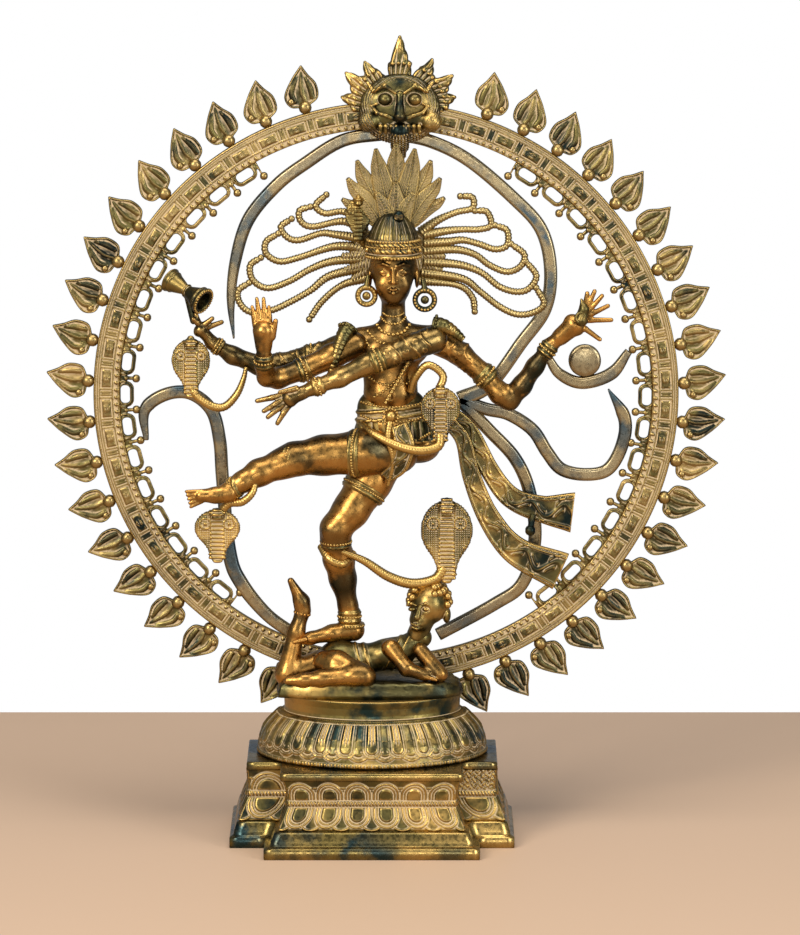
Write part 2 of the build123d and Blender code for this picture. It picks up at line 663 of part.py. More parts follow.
def make_crest():
    """Fan of feathers rising from the crown."""
    root = (18, 356)
    tips = ((-17, 388, 9), (-12, 402, 9), (4, 412, 10), (18, 414, 11), (33, 412, 10), (44, 402, 9),
        (50, 388, 9))
    feathers = []
    for x, z, width in tips:
        points = [place(*root), place(root[0] + 0.4 * (x - root[0]), root[1] + 0.55 * (z - root[1])),
            place(x, z)]
        widths = [width * 0.9 * FIGURE_SIZE, width * 1.2 * FIGURE_SIZE, 2.5]
        feathers.append(ribbon(points, widths, 2 * FIGURE_SIZE, 5 * FIGURE_SIZE))
    return joined(feathers)


HAIR_LEFT = (
    ((-4, 350), (-20, 361), (-35, 360), (-42, 366), (-34, 374)),
    ((-4, 346), (-21, 354), (-44, 350), (-53, 354), (-54, 362), (-46, 365)),
    ((-6, 341), (-27, 344), (-38, 345), (-54, 340), (-63, 342), (-68, 350), (-60, 356)),
    ((-6, 334), (-28, 335), (-54, 327), (-69, 324), (-79, 330), (-79, 339), (-70, 345)),
    ((-4, 326), (-29, 324), (-46, 318), (-62, 309), (-78, 304), (-89, 310), (-91, 321), (-83, 327)),
    ((-2, 320), (-31, 313), (-46, 302), (-62, 293), (-76, 287), (-91, 286), (-99, 293), (-100, 302),
        (-92, 308)),
    ((-2, 312), (-22, 306), (-37, 294), (-47, 280)),
)
HAIR_RIGHT = (
    ((36, 346), (49, 355), (63, 361), (75, 364), (75, 372), (66, 373)),
    ((38, 344), (55, 347), (68, 348), (80, 348), (89, 351), (86, 361), (77, 362)),
    ((38, 338), (57, 339), (68, 340), (80, 337), (92, 333), (101, 336), (101, 347), (92, 351)),
    ((38, 332), (62, 333), (77, 329), (88, 321), (101, 316), (111, 320), (114, 329), (104, 337)),
    ((38, 324), (62, 322), (74, 319), (84, 314), (95, 305), (107, 301), (117, 303), (123, 313), (115, 324)),
    ((36, 316), (67, 311), (81, 301), (95, 290), (108, 284), (120, 285), (129, 292), (123, 304)),
    ((34, 310), (64, 306), (75, 297), (77, 286)),
)


def hair_root(side):
    """The flat plate behind the head that carries the locks of one side."""
    inner, outer = (15.8, -26) if side < 0 else (16.2, 60)
    outline = [place(inner, 352), place(outer, 345), place(outer, 316), place(inner, 303)]
    return plate(make_face(Polyline(*outline, close=True)), HAIR_PLANE * FIGURE_SIZE, 4 * FIGURE_SIZE)


def make_hair(locks, side):
    """A fan of long locks that spring from the root plate, each ending in a bead."""
    radius = HAIR_DIAMETER * FIGURE_SIZE / 2
    hair = hair_root(side)
    for index, lock in enumerate(locks):
        depth = HAIR_PLANE + HAIR_STAGGER * (index % 3 - 1)
        points = [fig(x, depth, z) for x, z in lock]
        hair += bent_rod(points, radius) + ball(points[-1], 1.24 * radius)
    return hair


def hand(palm, spread, tips, palm_radius, finger_radius):
    """A palm with fingers: palm and spread are the heel and the knuckles, tips the finger ends."""
    parts = [limb((palm, palm_radius), (spread, 0.86 * palm_radius))]
    heel, knuckles = Vector(*palm), Vector(*spread)
    for tip in tips:
        root = knuckles + (Vector(*tip) - knuckles) * 0.15
        middle = root + (Vector(*tip) - root) * 0.55 + (knuckles - heel) * 0.06
        parts.append(limb((root, 1.15 * finger_radius), (middle, finger_radius),
            (tip, 0.8 * finger_radius)))
    return joined(parts)


def make_arms():
    s = FIGURE_SIZE
    drum_arm = limb(
        (fig(-14, 2, 265), 10 * s), (fig(-42, 4, 254), 8 * s), (fig(-82, 3, 248),
            7 * s), (fig(-104, 0, 255), 6.4 * s),
        (fig(-120, -3, 265), 4.8 * s),
    )
    drum_arm += hand(fig(-124, -4, 271), fig(-129, -6, 276),
        [fig(-131, -10, 287), fig(-127, -6, 289), fig(-116, -4, 285), fig(-113, -5, 279)], 5 * s, 2.0 * s)
    blessing = limb(
        (fig(-14, -10, 262), 9.5 * s), (fig(-46, -16, 249), 8 * s), (fig(-72, -22, 240),
            7 * s), (fig(-80, -32, 250), 6 * s),
        (fig(-80, -38, 260), 5 * s),
    )
    blessing += hand(fig(-80, -38, 270), fig(-81, -38, 279),
        [fig(-88, -38, 298), fig(-85, -37, 303), fig(-81, -37, 302), fig(-77, -38, 297),
        fig(-71, -40, 285)], 6.5 * s, 2.1 * s)
    cross = limb(
        (fig(46, -9, 268), 10 * s), (fig(26, -20, 262), 8.6 * s), (fig(2, -26, 254),
            7.6 * s), (fig(-24, -33, 243), 6.6 * s),
        (fig(-44, -36, 236), 5 * s),
    )
    cross += hand(fig(-52, -37, 232), fig(-61, -38, 228),
        [fig(-84, -38, 225), fig(-81, -40, 219), fig(-77, -41, 214), fig(-70, -38, 209)], 6 * s, 2.1 * s)
    flame_arm = limb(
        (fig(48, 4, 266), 10 * s), (fig(66, 4, 255), 8.2 * s), (fig(84, 2, 240),
            7.4 * s), (fig(102, 0, 222), 7.6 * s),
        (fig(120, -2, 244), 6.6 * s), (fig(133, -4, 263), 5.2 * s),
    )
    flame_arm += hand(fig(142, -5, 270), fig(150, -6, 278),
        [fig(160, -8, 303), fig(166, -8, 304), fig(171, -8, 300), fig(176, -8, 292), fig(178, -9, 280),
        fig(168, -10, 268)], 8 * s, 2.0 * s)
    return drum_arm, blessing, cross, flame_arm


def make_legs():
    s = FIGURE_SIZE
    standing = limb(
        (fig(10, 0, 178), 18 * s), (fig(-16, -10, 138), 13.5 * s), (fig(-27, -14, 126), 11.5 * s),
        (fig(-25, -8, 104), 11 * s), (fig(-21, -4, 86), 9.5 * s), (fig(-17, -2, 62),
            7.2 * s), (fig(-16, -1, 50), 8 * s),
    )
    standing += limb((fig(-18, -4, 47), 8 * s), (fig(-34, -8, 44), 6 * s), (fig(-54, -10, 40), 4.2 * s))
    raised = sleeve(
        (fig(24, -9, 184), 15 * s), (fig(8, -12, 183), 18.5 * s), (fig(-38, -22, 182), 14.5 * s),
        (fig(-60, -28, 180), 12 * s), (fig(-84, -36, 172), 9.5 * s), (fig(-106, -44, 160), 6.5 * s),
    )
    raised += sleeve(
        (fig(-100, -42, 162), 5.5 * s), (fig(-110, -46, 157), 6.8 * s), (fig(-122, -48, 156), 5.5 * s),
        (fig(-137, -50, 156), 3.4 * s),
    )
    return standing, raised


def make_flame_in_hand():
    s = FIGURE_SIZE
    return limb((fig(156, -14, 284), 6 * s), (fig(158, -15, 292), 4 * s), (fig(156, -15, 299), 1.6 * s))


def make_damaru():
    """Hourglass hand drum: two bowls meeting at a waist, with a short grip down to the hand."""
    s = FIGURE_SIZE
    front, back = fig(-126, -12, 298), fig(-150, 2, 311)
    middle = (front + back) / 2
    drum = taper(front, middle, 9 * s, 4 * s) + taper(middle, back, 4 * s, 8 * s)
    grip = taper(middle, fig(-134, -6, 281), 2.6 * s, 2.6 * s)
    return drum + ball(middle, 4.6 * s) + grip


# ---- figure: snakes -----------------------------------------------------------------------------


def hood(centre, width, height, middle):
    """Flared cobra hood as a smooth plate with a raised head, centred on (x, z)."""
    x, z = centre
    outline = [(0.0, -0.5), (0.26, -0.34), (0.46, -0.02), (0.48, 0.26), (0.28, 0.46), (0.0, 0.5),
               (-0.28, 0.46), (-0.48, 0.26), (-0.46, -0.02), (-0.26, -0.34)]
    points = [place(x + width * dx, z + height * dz) for dx, dz in outline]
    thickness = HOOD_THICKNESS * FIGURE_SIZE
    body = smooth_plate(points, middle * FIGURE_SIZE, thickness)
    ridge = limb((fig(x, middle - 1, z - 0.30 * height), 0.08 * width * FIGURE_SIZE),
                 (fig(x, middle - 3, z + 0.30 * height), 0.17 * width * FIGURE_SIZE))
    return body + ridge


def make_snakes():
    s = FIGURE_SIZE
    hair = hood((-10, 357), 19, 30, 6)
    arm = hood((-135, 248), 29, 39, -8) + bent_rod(
        [fig(-135, -8, 231), fig(-127, -10, 223), fig(-113, -11, 217), fig(-101, -10, 227),
            fig(-94, -7, 244)], 3 * s)
    waist = hood((51, 215), 30, 37, -28) + bent_rod(
        [fig(51, -28, 200), fig(50, -30, 190), fig(32, -30, 189), fig(10, -28, 196),
            fig(-9, -13, 206)], 3.6 * s)
    waist += bent_rod([fig(48, -27, 230), fig(52, -24, 243), fig(42, -22, 250), fig(33, -19, 242),
        fig(29, -9, 228)], 2.8 * s)
    ankle = hood((-115, 128), 34, 33, -40) + bent_rod(
        [fig(-115, -40, 114), fig(-100, -40, 108), fig(-84, -40, 118), fig(-77, -42, 136),
            fig(-82, -44, 158)], 3.2 * s)
    knee = hood((56, 119), 39, 54, -12) + bent_rod(
        [fig(54, -12, 94), fig(44, -12, 88), fig(32, -12, 99), fig(22, -12, 107), fig(8, -14, 92),
            fig(-8, -20, 90),
         fig(-24, -24, 100)], 3.6 * s)
    return {"cobra_hair": hair, "cobra_arm": arm, "cobra_waist": waist, "cobra_ankle": ankle,
        "cobra_knee": knee}


# ---- figure: dress and jewellery ----------------------------------------------------------------


def collar(centre, axis, outer, width):
    """A band around a limb: a short cylinder that the limb passes through."""
    return Plane(origin=centre, z_dir=Vector(*axis)) * Cylinder(outer * FIGURE_SIZE, width * FIGURE_SIZE)


def make_sashes():
    upper = ribbon(
        [place(60, 208), place(75, 194), place(88, 167), place(104, 146), place(126, 137), place(150, 134)],
        [11, 14, 15, 17, 21, 31], 10, SASH_THICKNESS)
    lower = ribbon(
        [place(54, 204), place(69, 188), place(75, 162), place(88, 131), place(108, 106), place(142, 90)],
        [11, 14, 16, 19, 24, 30], 4, SASH_THICKNESS)
    strut = ball(fig(119, 7, 121), 4) + taper(fig(119, 7, 121), fig(121, 8, 132), 2.5, 2.5)
    return upper, lower, strut


def make_dress():
    s = FIGURE_SIZE
    girdle_sections = []
    for x, y, z, a, b in ((14, -2, 225, 23, 15), (15, -2, 216, 25, 17), (17, -3, 200, 29, 20),
        (18, -3, 188, 30, 21)):
        girdle_sections.append(Plane(origin=fig(x, y, z), z_dir=(0, 0, 1)) * Ellipse(a * s, b * s))
    girdle = loft(girdle_sections)
    necklace = loft([
        Plane(origin=fig(16, -3, 288), z_dir=(0, 0, 1)) * Ellipse(11 * s, 11 * s),
        Plane(origin=fig(16, -4, 280), z_dir=(0, 0, 1)) * Ellipse(19 * s, 14 * s),
        Plane(origin=fig(17, -4, 270), z_dir=(0, 0, 1)) * Ellipse(29 * s, 16 * s),
    ])
    tassels = limb((fig(-20, -6, 274), 7 * s), (fig(-27, -8, 266), 4.5 * s))
    tassel_right = limb((fig(52, 2, 276), 6.5 * s), (fig(60, 2, 274), 5 * s), (fig(67, 2, 268), 3.5 * s))
    armlets = [
        collar(fig(84, 2, 240), (1, 0, -0.95), 9.4, 9), collar(fig(-44, 3, 254), (1, 0, 0.1), 9.4, 8),
        collar(fig(4, -26, 255), (1, 0.2, 0.4), 9.2, 7), collar(fig(-52, -17, 247), (1, 0.2, 0.35), 9.4, 7),
    ]
    bangles = [
        collar(fig(132, -4, 262), (0.6, 0, 0.8), 7.6, 8), collar(fig(-80, -36, 256), (0, -0.3, 1), 7.6, 7),
        collar(fig(-41, -36, 237), (1, 0.1, 0.4), 7.4, 6), collar(fig(-116, -2, 262), (-0.8, 0, 0.5), 6.8,
            5),
    ]
    anklets = [collar(fig(-103, -43, 162), (0.9, 0.3, 0.4), 8.8, 7),
        collar(fig(-17, -2, 58), (0, 0, 1), 10, 7)]
    leg_bands = [
        collar(fig(-66, -29, 178), (1, 0.3, 0.2), 13.2, 5), collar(fig(-8, -16, 182), (1, 0.2, 0), 18.8, 5),
        collar(fig(-5, -5, 156), (0.5, 0.2, 0.85), 18, 6), collar(fig(-26, -12, 118), (0, -0.1, 1), 13, 5),
    ]
    ears = [limb((fig(-3, -6, 298), 5 * s), (fig(-4, -5, 306), 3.4 * s), (fig(-3, -4, 318), 2.6 * s)),
            limb((fig(39, -5, 294), 5.5 * s), (fig(37, -4, 304), 3.2 * s), (fig(35, -3, 318), 2.6 * s))]
    return girdle, necklace, tassels, tassel_right, armlets, bangles, anklets, leg_bands, ears


# ---- assembly -----------------------------------------------------------------------------------


def figure_nodes():
    """The figure's castings, each trimmed to bed on the ones fitted before it."""
    nodes = {}
    slab = make_slab()
    body, dwarf_head, dwarf_leg, dwarf_raised, dwarf_arms = make_dwarf()
    torso, head, crown, crest = make_torso(), make_head(), make_crown(), make_crest()
    drum_arm, blessing, cross, flame_arm = make_arms()
    standing, raised = make_legs()
    upper, lower, strut = make_sashes()
    girdle, necklace, tassel_left, tassel_right, armlets, bangles, anklets, leg_bands, ears = make_dress()
    snakes = make_snakes()

    def add(name, piece, *neighbours):
        nodes[name] = bed(piece, *[nodes[other] for other in neighbours]) if neighbours else piece

    add("ground_slab", slab)
    add("dwarf_body", body, "ground_slab")
    add("dwarf_head", dwarf_head, "dwarf_body", "ground_slab")
    add("dwarf_lower_leg", dwarf_leg, "dwarf_body", "ground_slab")
    add("dwarf_raised_leg", dwarf_raised, "dwarf_body", "dwarf_lower_leg", "ground_slab")
    add("dwarf_arms", dwarf_arms, "dwarf_body", "dwarf_head", "dwarf_lower_leg", "ground_slab")
    add("torso", torso)
    add("standing_leg", standing, "torso", "dwarf_body", "dwarf_lower_leg", "dwarf_raised_leg")
    add("raised_leg", raised, "torso", "standing_leg")
    roots = (hair_root(-1), hair_root(1))
    add("head", bed(head, *roots), "torso")
    add("crown", bed(crown, *roots), "head")
    add("crest_plumes", crest, "crown", "head")
    add("hair_left", make_hair(HAIR_LEFT, -1))
    add("hair_right", make_hair(HAIR_RIGHT, 1))
    add("arm_with_drum", drum_arm, "torso", "head")
    add("arm_blessing", blessing, "torso", "arm_with_drum", "head")
    add("arm_with_flame", flame_arm, "torso", "head")
    add("arm_across_chest", cross, "torso", "arm_with_flame", "arm_blessing", "head")
    arms = ("arm_with_drum", "arm_blessing", "arm_with_flame", "arm_across_chest")
    add("damaru", make_damaru(), "arm_with_drum")
    add("hand_flame", make_flame_in_hand(), "arm_with_flame")
    add("girdle", girdle, "torso", "standing_leg", "raised_leg")
    add("necklace", necklace, "torso", "head", "hair_left", "hair_right", *arms)
    add("ear_ornaments", Compound(children=[bed(ear, nodes["head"], nodes["torso"], nodes["necklace"],
        nodes["hair_left"], nodes["hair_right"], nodes["crown"]) for ear in ears]))
    add("tassel_left", tassel_left, "torso", "necklace", "hair_left", *arms)
    add("tassel_right", tassel_right, "torso", "necklace", "hair_right", *arms)

    def bands(name, pieces, *neighbours):
        trimmed = [bed(piece, *[nodes[other] for other in neighbours]) for piece in pieces]
        nodes[name] = Compound(children=[solid for piece in trimmed for solid in piece.solids()])

    bands("armlets", armlets, "torso", "necklace", "tassel_left", "tassel_right", *arms)
    bands("bangles", bangles, *arms)
    bands("anklets", anklets, "standing_leg", "raised_leg", "dwarf_body")
    bands("leg_bands", leg_bands, "standing_leg", "raised_leg", "torso", "girdle")
    add("cobra_hair", snakes["cobra_hair"], "hair_left", "crown", "crest_plumes", "head")
    add("cobra_arm", snakes["cobra_arm"], *arms, "bangles")
    add("cobra_waist", snakes["cobra_waist"], "girdle", "torso", "raised_leg", *arms)
    add("cobra_ankle", snakes["cobra_ankle"], "raised_leg", "leg_bands", "anklets")
    add("cobra_knee", snakes["cobra_knee"], "standing_leg", "leg_bands", "dwarf_head", "dwarf_body")
    add("sash_upper", upper, "girdle", "torso", "cobra_waist", "arm_with_flame")
    add("sash_lower", lower, "girdle", "torso", "cobra_waist", "sash_upper")
    add("sash_link", strut, "sash_upper", "sash_lower")
    return nodes


def main():
    os.makedirs("parts", exist_ok=True)
    nodes = {"plinth": make_plinth(), "lotus_drum": make_drum()}
    band = make_band()
    lattice_left = lattice_sector(*LATTICE_LEFT)
    lattice_right = lattice_sector(*LATTICE_RIGHT)
    nodes["ring_band"] = band
    nodes["ring_lattice_left"] = bed(lattice_left, band)
    nodes["ring_lattice_right"] = bed(lattice_right, band)
    nodes["flames_left"] = make_flames(*FLAMES_LEFT, side=-1)
    nodes["flames_right"] = make_flames(*FLAMES_RIGHT, side=1)
    nodes["ring_foot"] = make_ring_foot(band)
    nodes["mask_crown"], nodes["mask_face"] = make_kirtimukha(band)
    nodes.update(make_bars(band, (nodes["ring_lattice_left"], nodes["ring_lattice_right"])))
    nodes["drum_bolts"], nodes["drum_nuts"] = drum_bolt_set()
    nodes["studs"], nodes["stud_washers"], nodes["stud_nuts"] = stud_set()
    nodes.update(figure_nodes())
    for name, piece in nodes.items():
        export_step(piece, f"parts/{name}.step")


main()
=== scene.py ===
"""Looks of the antiqued brass nataraja statue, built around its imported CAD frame.

Shapes are worked out in millimetres and turned into metres in piece(). Curved castings are modelled as
signed distances on a fine grid; bars, locks, sashes and mouldings are swept or lofted grids.
"""
from math import cos, pi, radians, sin

import bpy
import numpy as np
import openvdb as vdb
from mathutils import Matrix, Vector


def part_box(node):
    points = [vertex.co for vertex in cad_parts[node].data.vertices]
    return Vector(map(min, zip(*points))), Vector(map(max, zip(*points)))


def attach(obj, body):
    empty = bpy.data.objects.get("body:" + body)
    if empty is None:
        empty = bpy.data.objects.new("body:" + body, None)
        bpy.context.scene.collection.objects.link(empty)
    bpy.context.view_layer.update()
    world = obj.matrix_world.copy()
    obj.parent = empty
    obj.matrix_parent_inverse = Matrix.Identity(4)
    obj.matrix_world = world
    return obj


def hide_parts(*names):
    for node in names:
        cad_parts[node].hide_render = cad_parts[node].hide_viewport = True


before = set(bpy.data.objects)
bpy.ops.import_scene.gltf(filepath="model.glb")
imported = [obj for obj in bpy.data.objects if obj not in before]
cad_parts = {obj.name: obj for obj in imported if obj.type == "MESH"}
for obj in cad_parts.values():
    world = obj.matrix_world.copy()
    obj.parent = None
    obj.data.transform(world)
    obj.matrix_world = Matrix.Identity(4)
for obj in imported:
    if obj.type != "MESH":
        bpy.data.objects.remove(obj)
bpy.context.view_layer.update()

MM = 0.001


def box_mm(node):
    """Lowest and highest corners of a CAD node, in millimetres."""
    low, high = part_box(node)
    return np.array(low) / MM, np.array(high) / MM


plinth_low, plinth_high = box_mm("plinth")
drum_low, drum_high = box_mm("lotus_drum")
band_low, band_high = box_mm("ring_band")
RING_CENTRE = (band_low + band_high) / 2
RING_RADIUS = (band_high[0] - band_low[0]) / 2
BAND_WIDTH = 19.5
BAND_INSIDE = RING_RADIUS - BAND_WIDTH
LATTICE_INSIDE = BAND_INSIDE - 10.0
TOP = drum_high[2]


# ---- grids, solids and meshes --------------------------------------------------------------------


def smooth_min(a, b, blend):
    if blend <= 0:
        return np.minimum(a, b)
    h = np.clip(0.5 + 0.5 * (b - a) / blend, 0, 1)
    return b + (a - b) * h - blend * h * (1 - h)


class Clay:
    """Signed distances on a millimetre grid: solids are added and cut, then meshed."""

    def __init__(self, low, high, step=0.85):
        self.step = step
        self.low = np.array(low, float) - 3 * step
        count = np.ceil((np.array(high) - self.low) / step).astype(int) + 4
        self.values = np.full(count, 8.0, np.float32)

    def window(self, low, high):
        start = np.maximum(((low - self.low) / self.step).astype(int) - 1, 0)
        stop = np.minimum(np.ceil((high - self.low) / self.step).astype(int) + 2, self.values.shape)
        axes = [self.low[i] + self.step * np.arange(start[i], max(stop[i], start[i])) for i in range(3)]
        region = tuple(slice(start[i], max(stop[i], start[i])) for i in range(3))
        return region, np.meshgrid(*axes, indexing="ij", sparse=True)

    def combine(self, shape, blend, cutting):
        distance, low, high = shape
        margin = blend + 2.5 * self.step
        region, (x, y, z) = self.window(low - margin, high + margin)
        if self.values[region].size == 0:
            return
        new = distance(x, y, z).astype(np.float32)
        old = self.values[region]
        if cutting:
            self.values[region] = -smooth_min(-old, new, blend)
        else:
            self.values[region] = smooth_min(old, new, blend)

    def add(self, *shapes, blend=0.0):
        for shape in shapes:
            self.combine(shape, blend, False)
        return self

    def cut(self, *shapes, blend=0.0):
        for shape in shapes:
            self.combine(shape, blend, True)
        return self

    def mesh(self):
        grid = vdb.FloatGrid(8.0)
        grid.copyFromArray(self.values)
        points, quads = grid.convertToQuads(0.0)
        return outward((points.astype(float) * self.step + self.low, quads.astype(int)))


def vec(*values):
    return np.array(values, float)


def rod(a, b, ra, rb):
    """Round-ended taper between two points."""
    a, b = np.array(a, float), np.array(b, float)
    run = b - a
    length2 = max(float(run @ run), 1e-9)

    def distance(x, y, z):
        t = np.clip(((x - a[0]) * run[0] + (y - a[1]) * run[1] + (z - a[2]) * run[2]) / length2, 0, 1)
        off = (x - a[0] - t * run[0]) ** 2 + (y - a[1] - t * run[1]) ** 2 + (z - a[2] - t * run[2]) ** 2
        return np.sqrt(off) - (ra + t * (rb - ra))

    reach = max(ra, rb)
    return distance, np.minimum(a, b) - reach, np.maximum(a, b) + reach


def chain(*stations):
    """Rods through (point, radius) stations."""
    return [rod(p, q, r, s) for (p, r), (q, s) in zip(stations, stations[1:])]


def blob(centre, radii, lean=0.0):
    """Ellipsoid, leaned about the front-to-back axis by lean degrees clockwise."""
    c, r = np.array(centre, float), np.array(radii, float)
    co, si = cos(radians(lean)), sin(radians(lean))

    def distance(x, y, z):
        u = (x - c[0]) * co - (z - c[2]) * si
        w = (x - c[0]) * si + (z - c[2]) * co
        v = y - c[1]
        near = np.sqrt((u / r[0]) ** 2 + (v / r[1]) ** 2 + (w / r[2]) ** 2) + 1e-9
        slope = np.sqrt((u / r[0] ** 2) ** 2 + (v / r[1] ** 2) ** 2 + (w / r[2] ** 2) ** 2) + 1e-9
        return near * (near - 1) / slope

    reach = float(r.max())
    return distance, c - reach, c + reach


def hoop(centre, axis, radius, thickness, squash=1.0):
    """A ring of round section around an axis through centre."""
    c, n = np.array(centre, float), np.array(axis, float)
    n = n / np.linalg.norm(n)

    def distance(x, y, z):
        dx, dy, dz = x - c[0], y - c[1], z - c[2]
        along = dx * n[0] + dy * n[1] + dz * n[2]
        away = np.sqrt(np.maximum(dx * dx + dy * dy + dz * dz - along * along, 0)) - radius
        return np.sqrt(away ** 2 + (along * squash) ** 2) - thickness

    reach = radius + thickness
    return distance, c - reach, c + reach


def outward(shape):
    """A closed mesh with its faces turned outward."""
    points, quads = shape
    corners = points[quads] - points.mean(0)
    volume = (np.cross(corners[:, 0], corners[:, 1]) * corners[:, 2]).sum() + (np.cross(corners[:, 0],
        corners[:, 2]) * corners[:, 3]).sum()
    return (points, quads) if volume > 0 else (points, quads[:, ::-1])


def join(shapes):
    """Several (points, quads) as one."""
    points, quads, start = [], [], 0
    for p, q in map(outward, shapes):
        points.append(p)
        quads.append(q + start)
        start += len(p)
    return np.concatenate(points), np.concatenate(quads)


def bead_shape(cuts=3):
    """Unit sphere of quads."""
    line = np.linspace(-1, 1, cuts + 1)
    faces = []
    for axis in range(3):
        for side in (-1, 1):
            u, v = np.meshgrid(line, line, indexing="ij")
            cube = np.zeros(u.shape + (3,))
            cube[..., axis] = side
            cube[..., (axis + 1) % 3] = u * side
            cube[..., (axis + 2) % 3] = v
            faces.append(grid_mesh(cube))
    points, quads = join(faces)
    keys = np.round(points * 1000).astype(int)
    _, first, back = np.unique(keys, axis=0, return_index=True, return_inverse=True)
    points, quads = points[first], back.reshape(-1)[quads]
    return points / np.linalg.norm(points, axis=1)[:, None], quads


def grid_mesh(places, wrap_rows=False, wrap_columns=False):
    """Quads over a (rows, columns, 3) array of points."""
    rows, columns = places.shape[:2]
    index = np.arange(rows * columns).reshape(rows, columns)
    if wrap_rows:
        index = np.concatenate([index, index[:1]], 0)
    if wrap_columns:
        index = np.concatenate([index, index[:, :1]], 1)
    quads = np.stack([index[:-1, :-1], index[1:, :-1], index[1:, 1:], index[:-1, 1:]], -1)
    return places.reshape(-1, 3), quads.reshape(-1, 4)


BEAD = bead_shape()


def beads(centres, radius):
    """Small spheres at each centre; radius is one number or one each."""
    centres = np.atleast_2d(np.array(centres, float))
    sizes = np.broadcast_to(np.array(radius, float), (len(centres),))
    points = (BEAD[0][None] * sizes[:, None, None] + centres[:, None]).reshape(-1, 3)
    quads = (BEAD[1][None] + (np.arange(len(centres)) * len(BEAD[0]))[:, None, None]).reshape(-1, 4)
    return points, quads


def curve(points, step=1.0):
    """Evenly spaced places on a smooth line through points."""
    p = np.array(points, float)
    p = np.concatenate([2 * p[:1] - p[1:2], p, 2 * p[-1:] - p[-2:-1]])
    line = []
    for a, b, c, d in zip(p, p[1:], p[2:], p[3:]):
        t = np.linspace(0, 1, 24, endpoint=False)[:, None]
        line.append(0.5 * (2 * b + (c - a) * t + (2 * a - 5 * b + 4 * c - d) * t ** 2
                           + (3 * b - a - 3 * c + d) * t ** 3))
    line = np.concatenate(line + [p[-2:-1]])
    gaps = np.linalg.norm(np.diff(line, axis=0), axis=1)
    along = np.concatenate([[0], np.cumsum(gaps)])
    count = max(int(along[-1] / step), 2)
    even = np.linspace(0, along[-1], count + 1)
    return np.stack([np.interp(even, along, line[:, i]) for i in range(line.shape[1])], 1)


def frames(line, up):
    """Tangent, side and normal at each place of a line; the normal stays nearest to up."""
    along = np.gradient(line, axis=0)
    along /= np.linalg.norm(along, axis=1)[:, None]
    up = np.broadcast_to(np.array(up, float), line.shape)
    side = np.cross(along, up)
    side /= np.linalg.norm(side, axis=1)[:, None] + 1e-9
    return along, side, np.cross(side, along)


def tube(points, radius, step=0.8, around=14, up=(0, 1, 0), flat=1.0, ends=True):
    """Swept round body; radius is a function of (distance from start, total length, angle array)."""
    line = curve(points, step)
    _, side, normal = frames(line, up)
    travelled = np.concatenate([[0], np.cumsum(np.linalg.norm(np.diff(line, axis=0), axis=1))])
    turn = np.arange(around) / around * 2 * pi
    size = radius(travelled[:, None], travelled[-1], turn[None, :]) * np.ones((len(line), around))
    places = (
        line[:, None]
        + side[:, None] * (np.cos(turn)[None, :, None] * size[..., None])
        + normal[:, None] * (np.sin(turn)[None, :, None] * size[..., None] * flat)
    )
    if ends:
        places = np.concatenate([np.repeat(line[:1, None], around, 1), places,
            np.repeat(line[-1:, None], around, 1)])
    return grid_mesh(places, wrap_columns=True)


def strap(points, widths, thickness, up=(0, -1, 0), relief=None, step=0.8, across=0.8, bow=0.0,
    rounding=0.35):
    """Flat bar or cloth along a line, with relief(u, v, half_width) raised on its front and back.

    u runs across from -1 to 1 and v along in millimetres. bow lifts the edges towards the front."""
    line = curve(points, step)
    _, side, normal = frames(line, up)
    travelled = np.concatenate([[0], np.cumsum(np.linalg.norm(np.diff(line, axis=0), axis=1))])
    share = travelled / travelled[-1]
    half = np.interp(share, np.linspace(0, 1, len(widths)), widths) / 2
    count = max(int(2 * half.max() / across), 4)
    u = np.linspace(-1, 1, count + 1)
    edge = np.sqrt(np.maximum(1 - np.clip((np.abs(u) - (1 - rounding)) / rounding, 0, 1) ** 2, 0))
    raised = np.zeros((len(line), len(u)))
    if relief is not None:
        raised = relief(u[None, :], travelled[:, None], half[:, None]) * np.ones_like(raised)
    body = thickness / 2 * edge[None, :] + raised * np.minimum(edge, 1)[None, :]
    lift = bow * (u ** 2)[None, :] * half[:, None]
    front = line[:, None] + side[:, None] * (u[None, :, None] * half[:, None, None]) + normal[:,
        None] * (lift + body)[..., None]
    back = line[:, None] + side[:, None] * (u[None, :, None] * half[:, None, None]) + normal[:,
        None] * (lift - body)[..., None]
    places = np.concatenate([front, back[:, ::-1]], 1)
    middle = places.mean(1, keepdims=True)
    places = np.concatenate([middle[:1].repeat(places.shape[1], 1), places,
        middle[-1:].repeat(places.shape[1], 1)])
    return grid_mesh(places, wrap_columns=True)


def normals_of(points, quads):
    p = points[quads]
    face = np.cross(p[:, 2] - p[:, 0], p[:, 3] - p[:, 1])
    total = np.zeros_like(points)
    for axis in range(3):
        for corner in range(4):
            total[:, axis] += np.bincount(quads[:, corner], weights=face[:, axis], minlength=len(points))
    return total / (np.linalg.norm(total, axis=1)[:, None] + 1e-12)


def hollows(points, quads, rounds):
    """How far each point lies below (+) or above (-) its smoothed surroundings, in millimetres."""
    ends = np.concatenate([quads[:, [k, (k + 1) % 4]] for k in range(4)])
    ends = np.concatenate([ends, ends[:, ::-1]])
    count = np.maximum(np.bincount(ends[:, 0], minlength=len(points)), 1)
    soft = points
    results, done = [], 0
    normal = normals_of(points, quads)
    for target in rounds:
        while done < target:
            soft = np.stack(
                [np.bincount(ends[:, 0], weights=soft[ends[:, 1], i],
                    minlength=len(points)) for i in range(3)], 1
            ) / count[:, None]
            done += 1
        results.append(((soft - points) * normal).sum(1))
    return results


COARSE = 6200


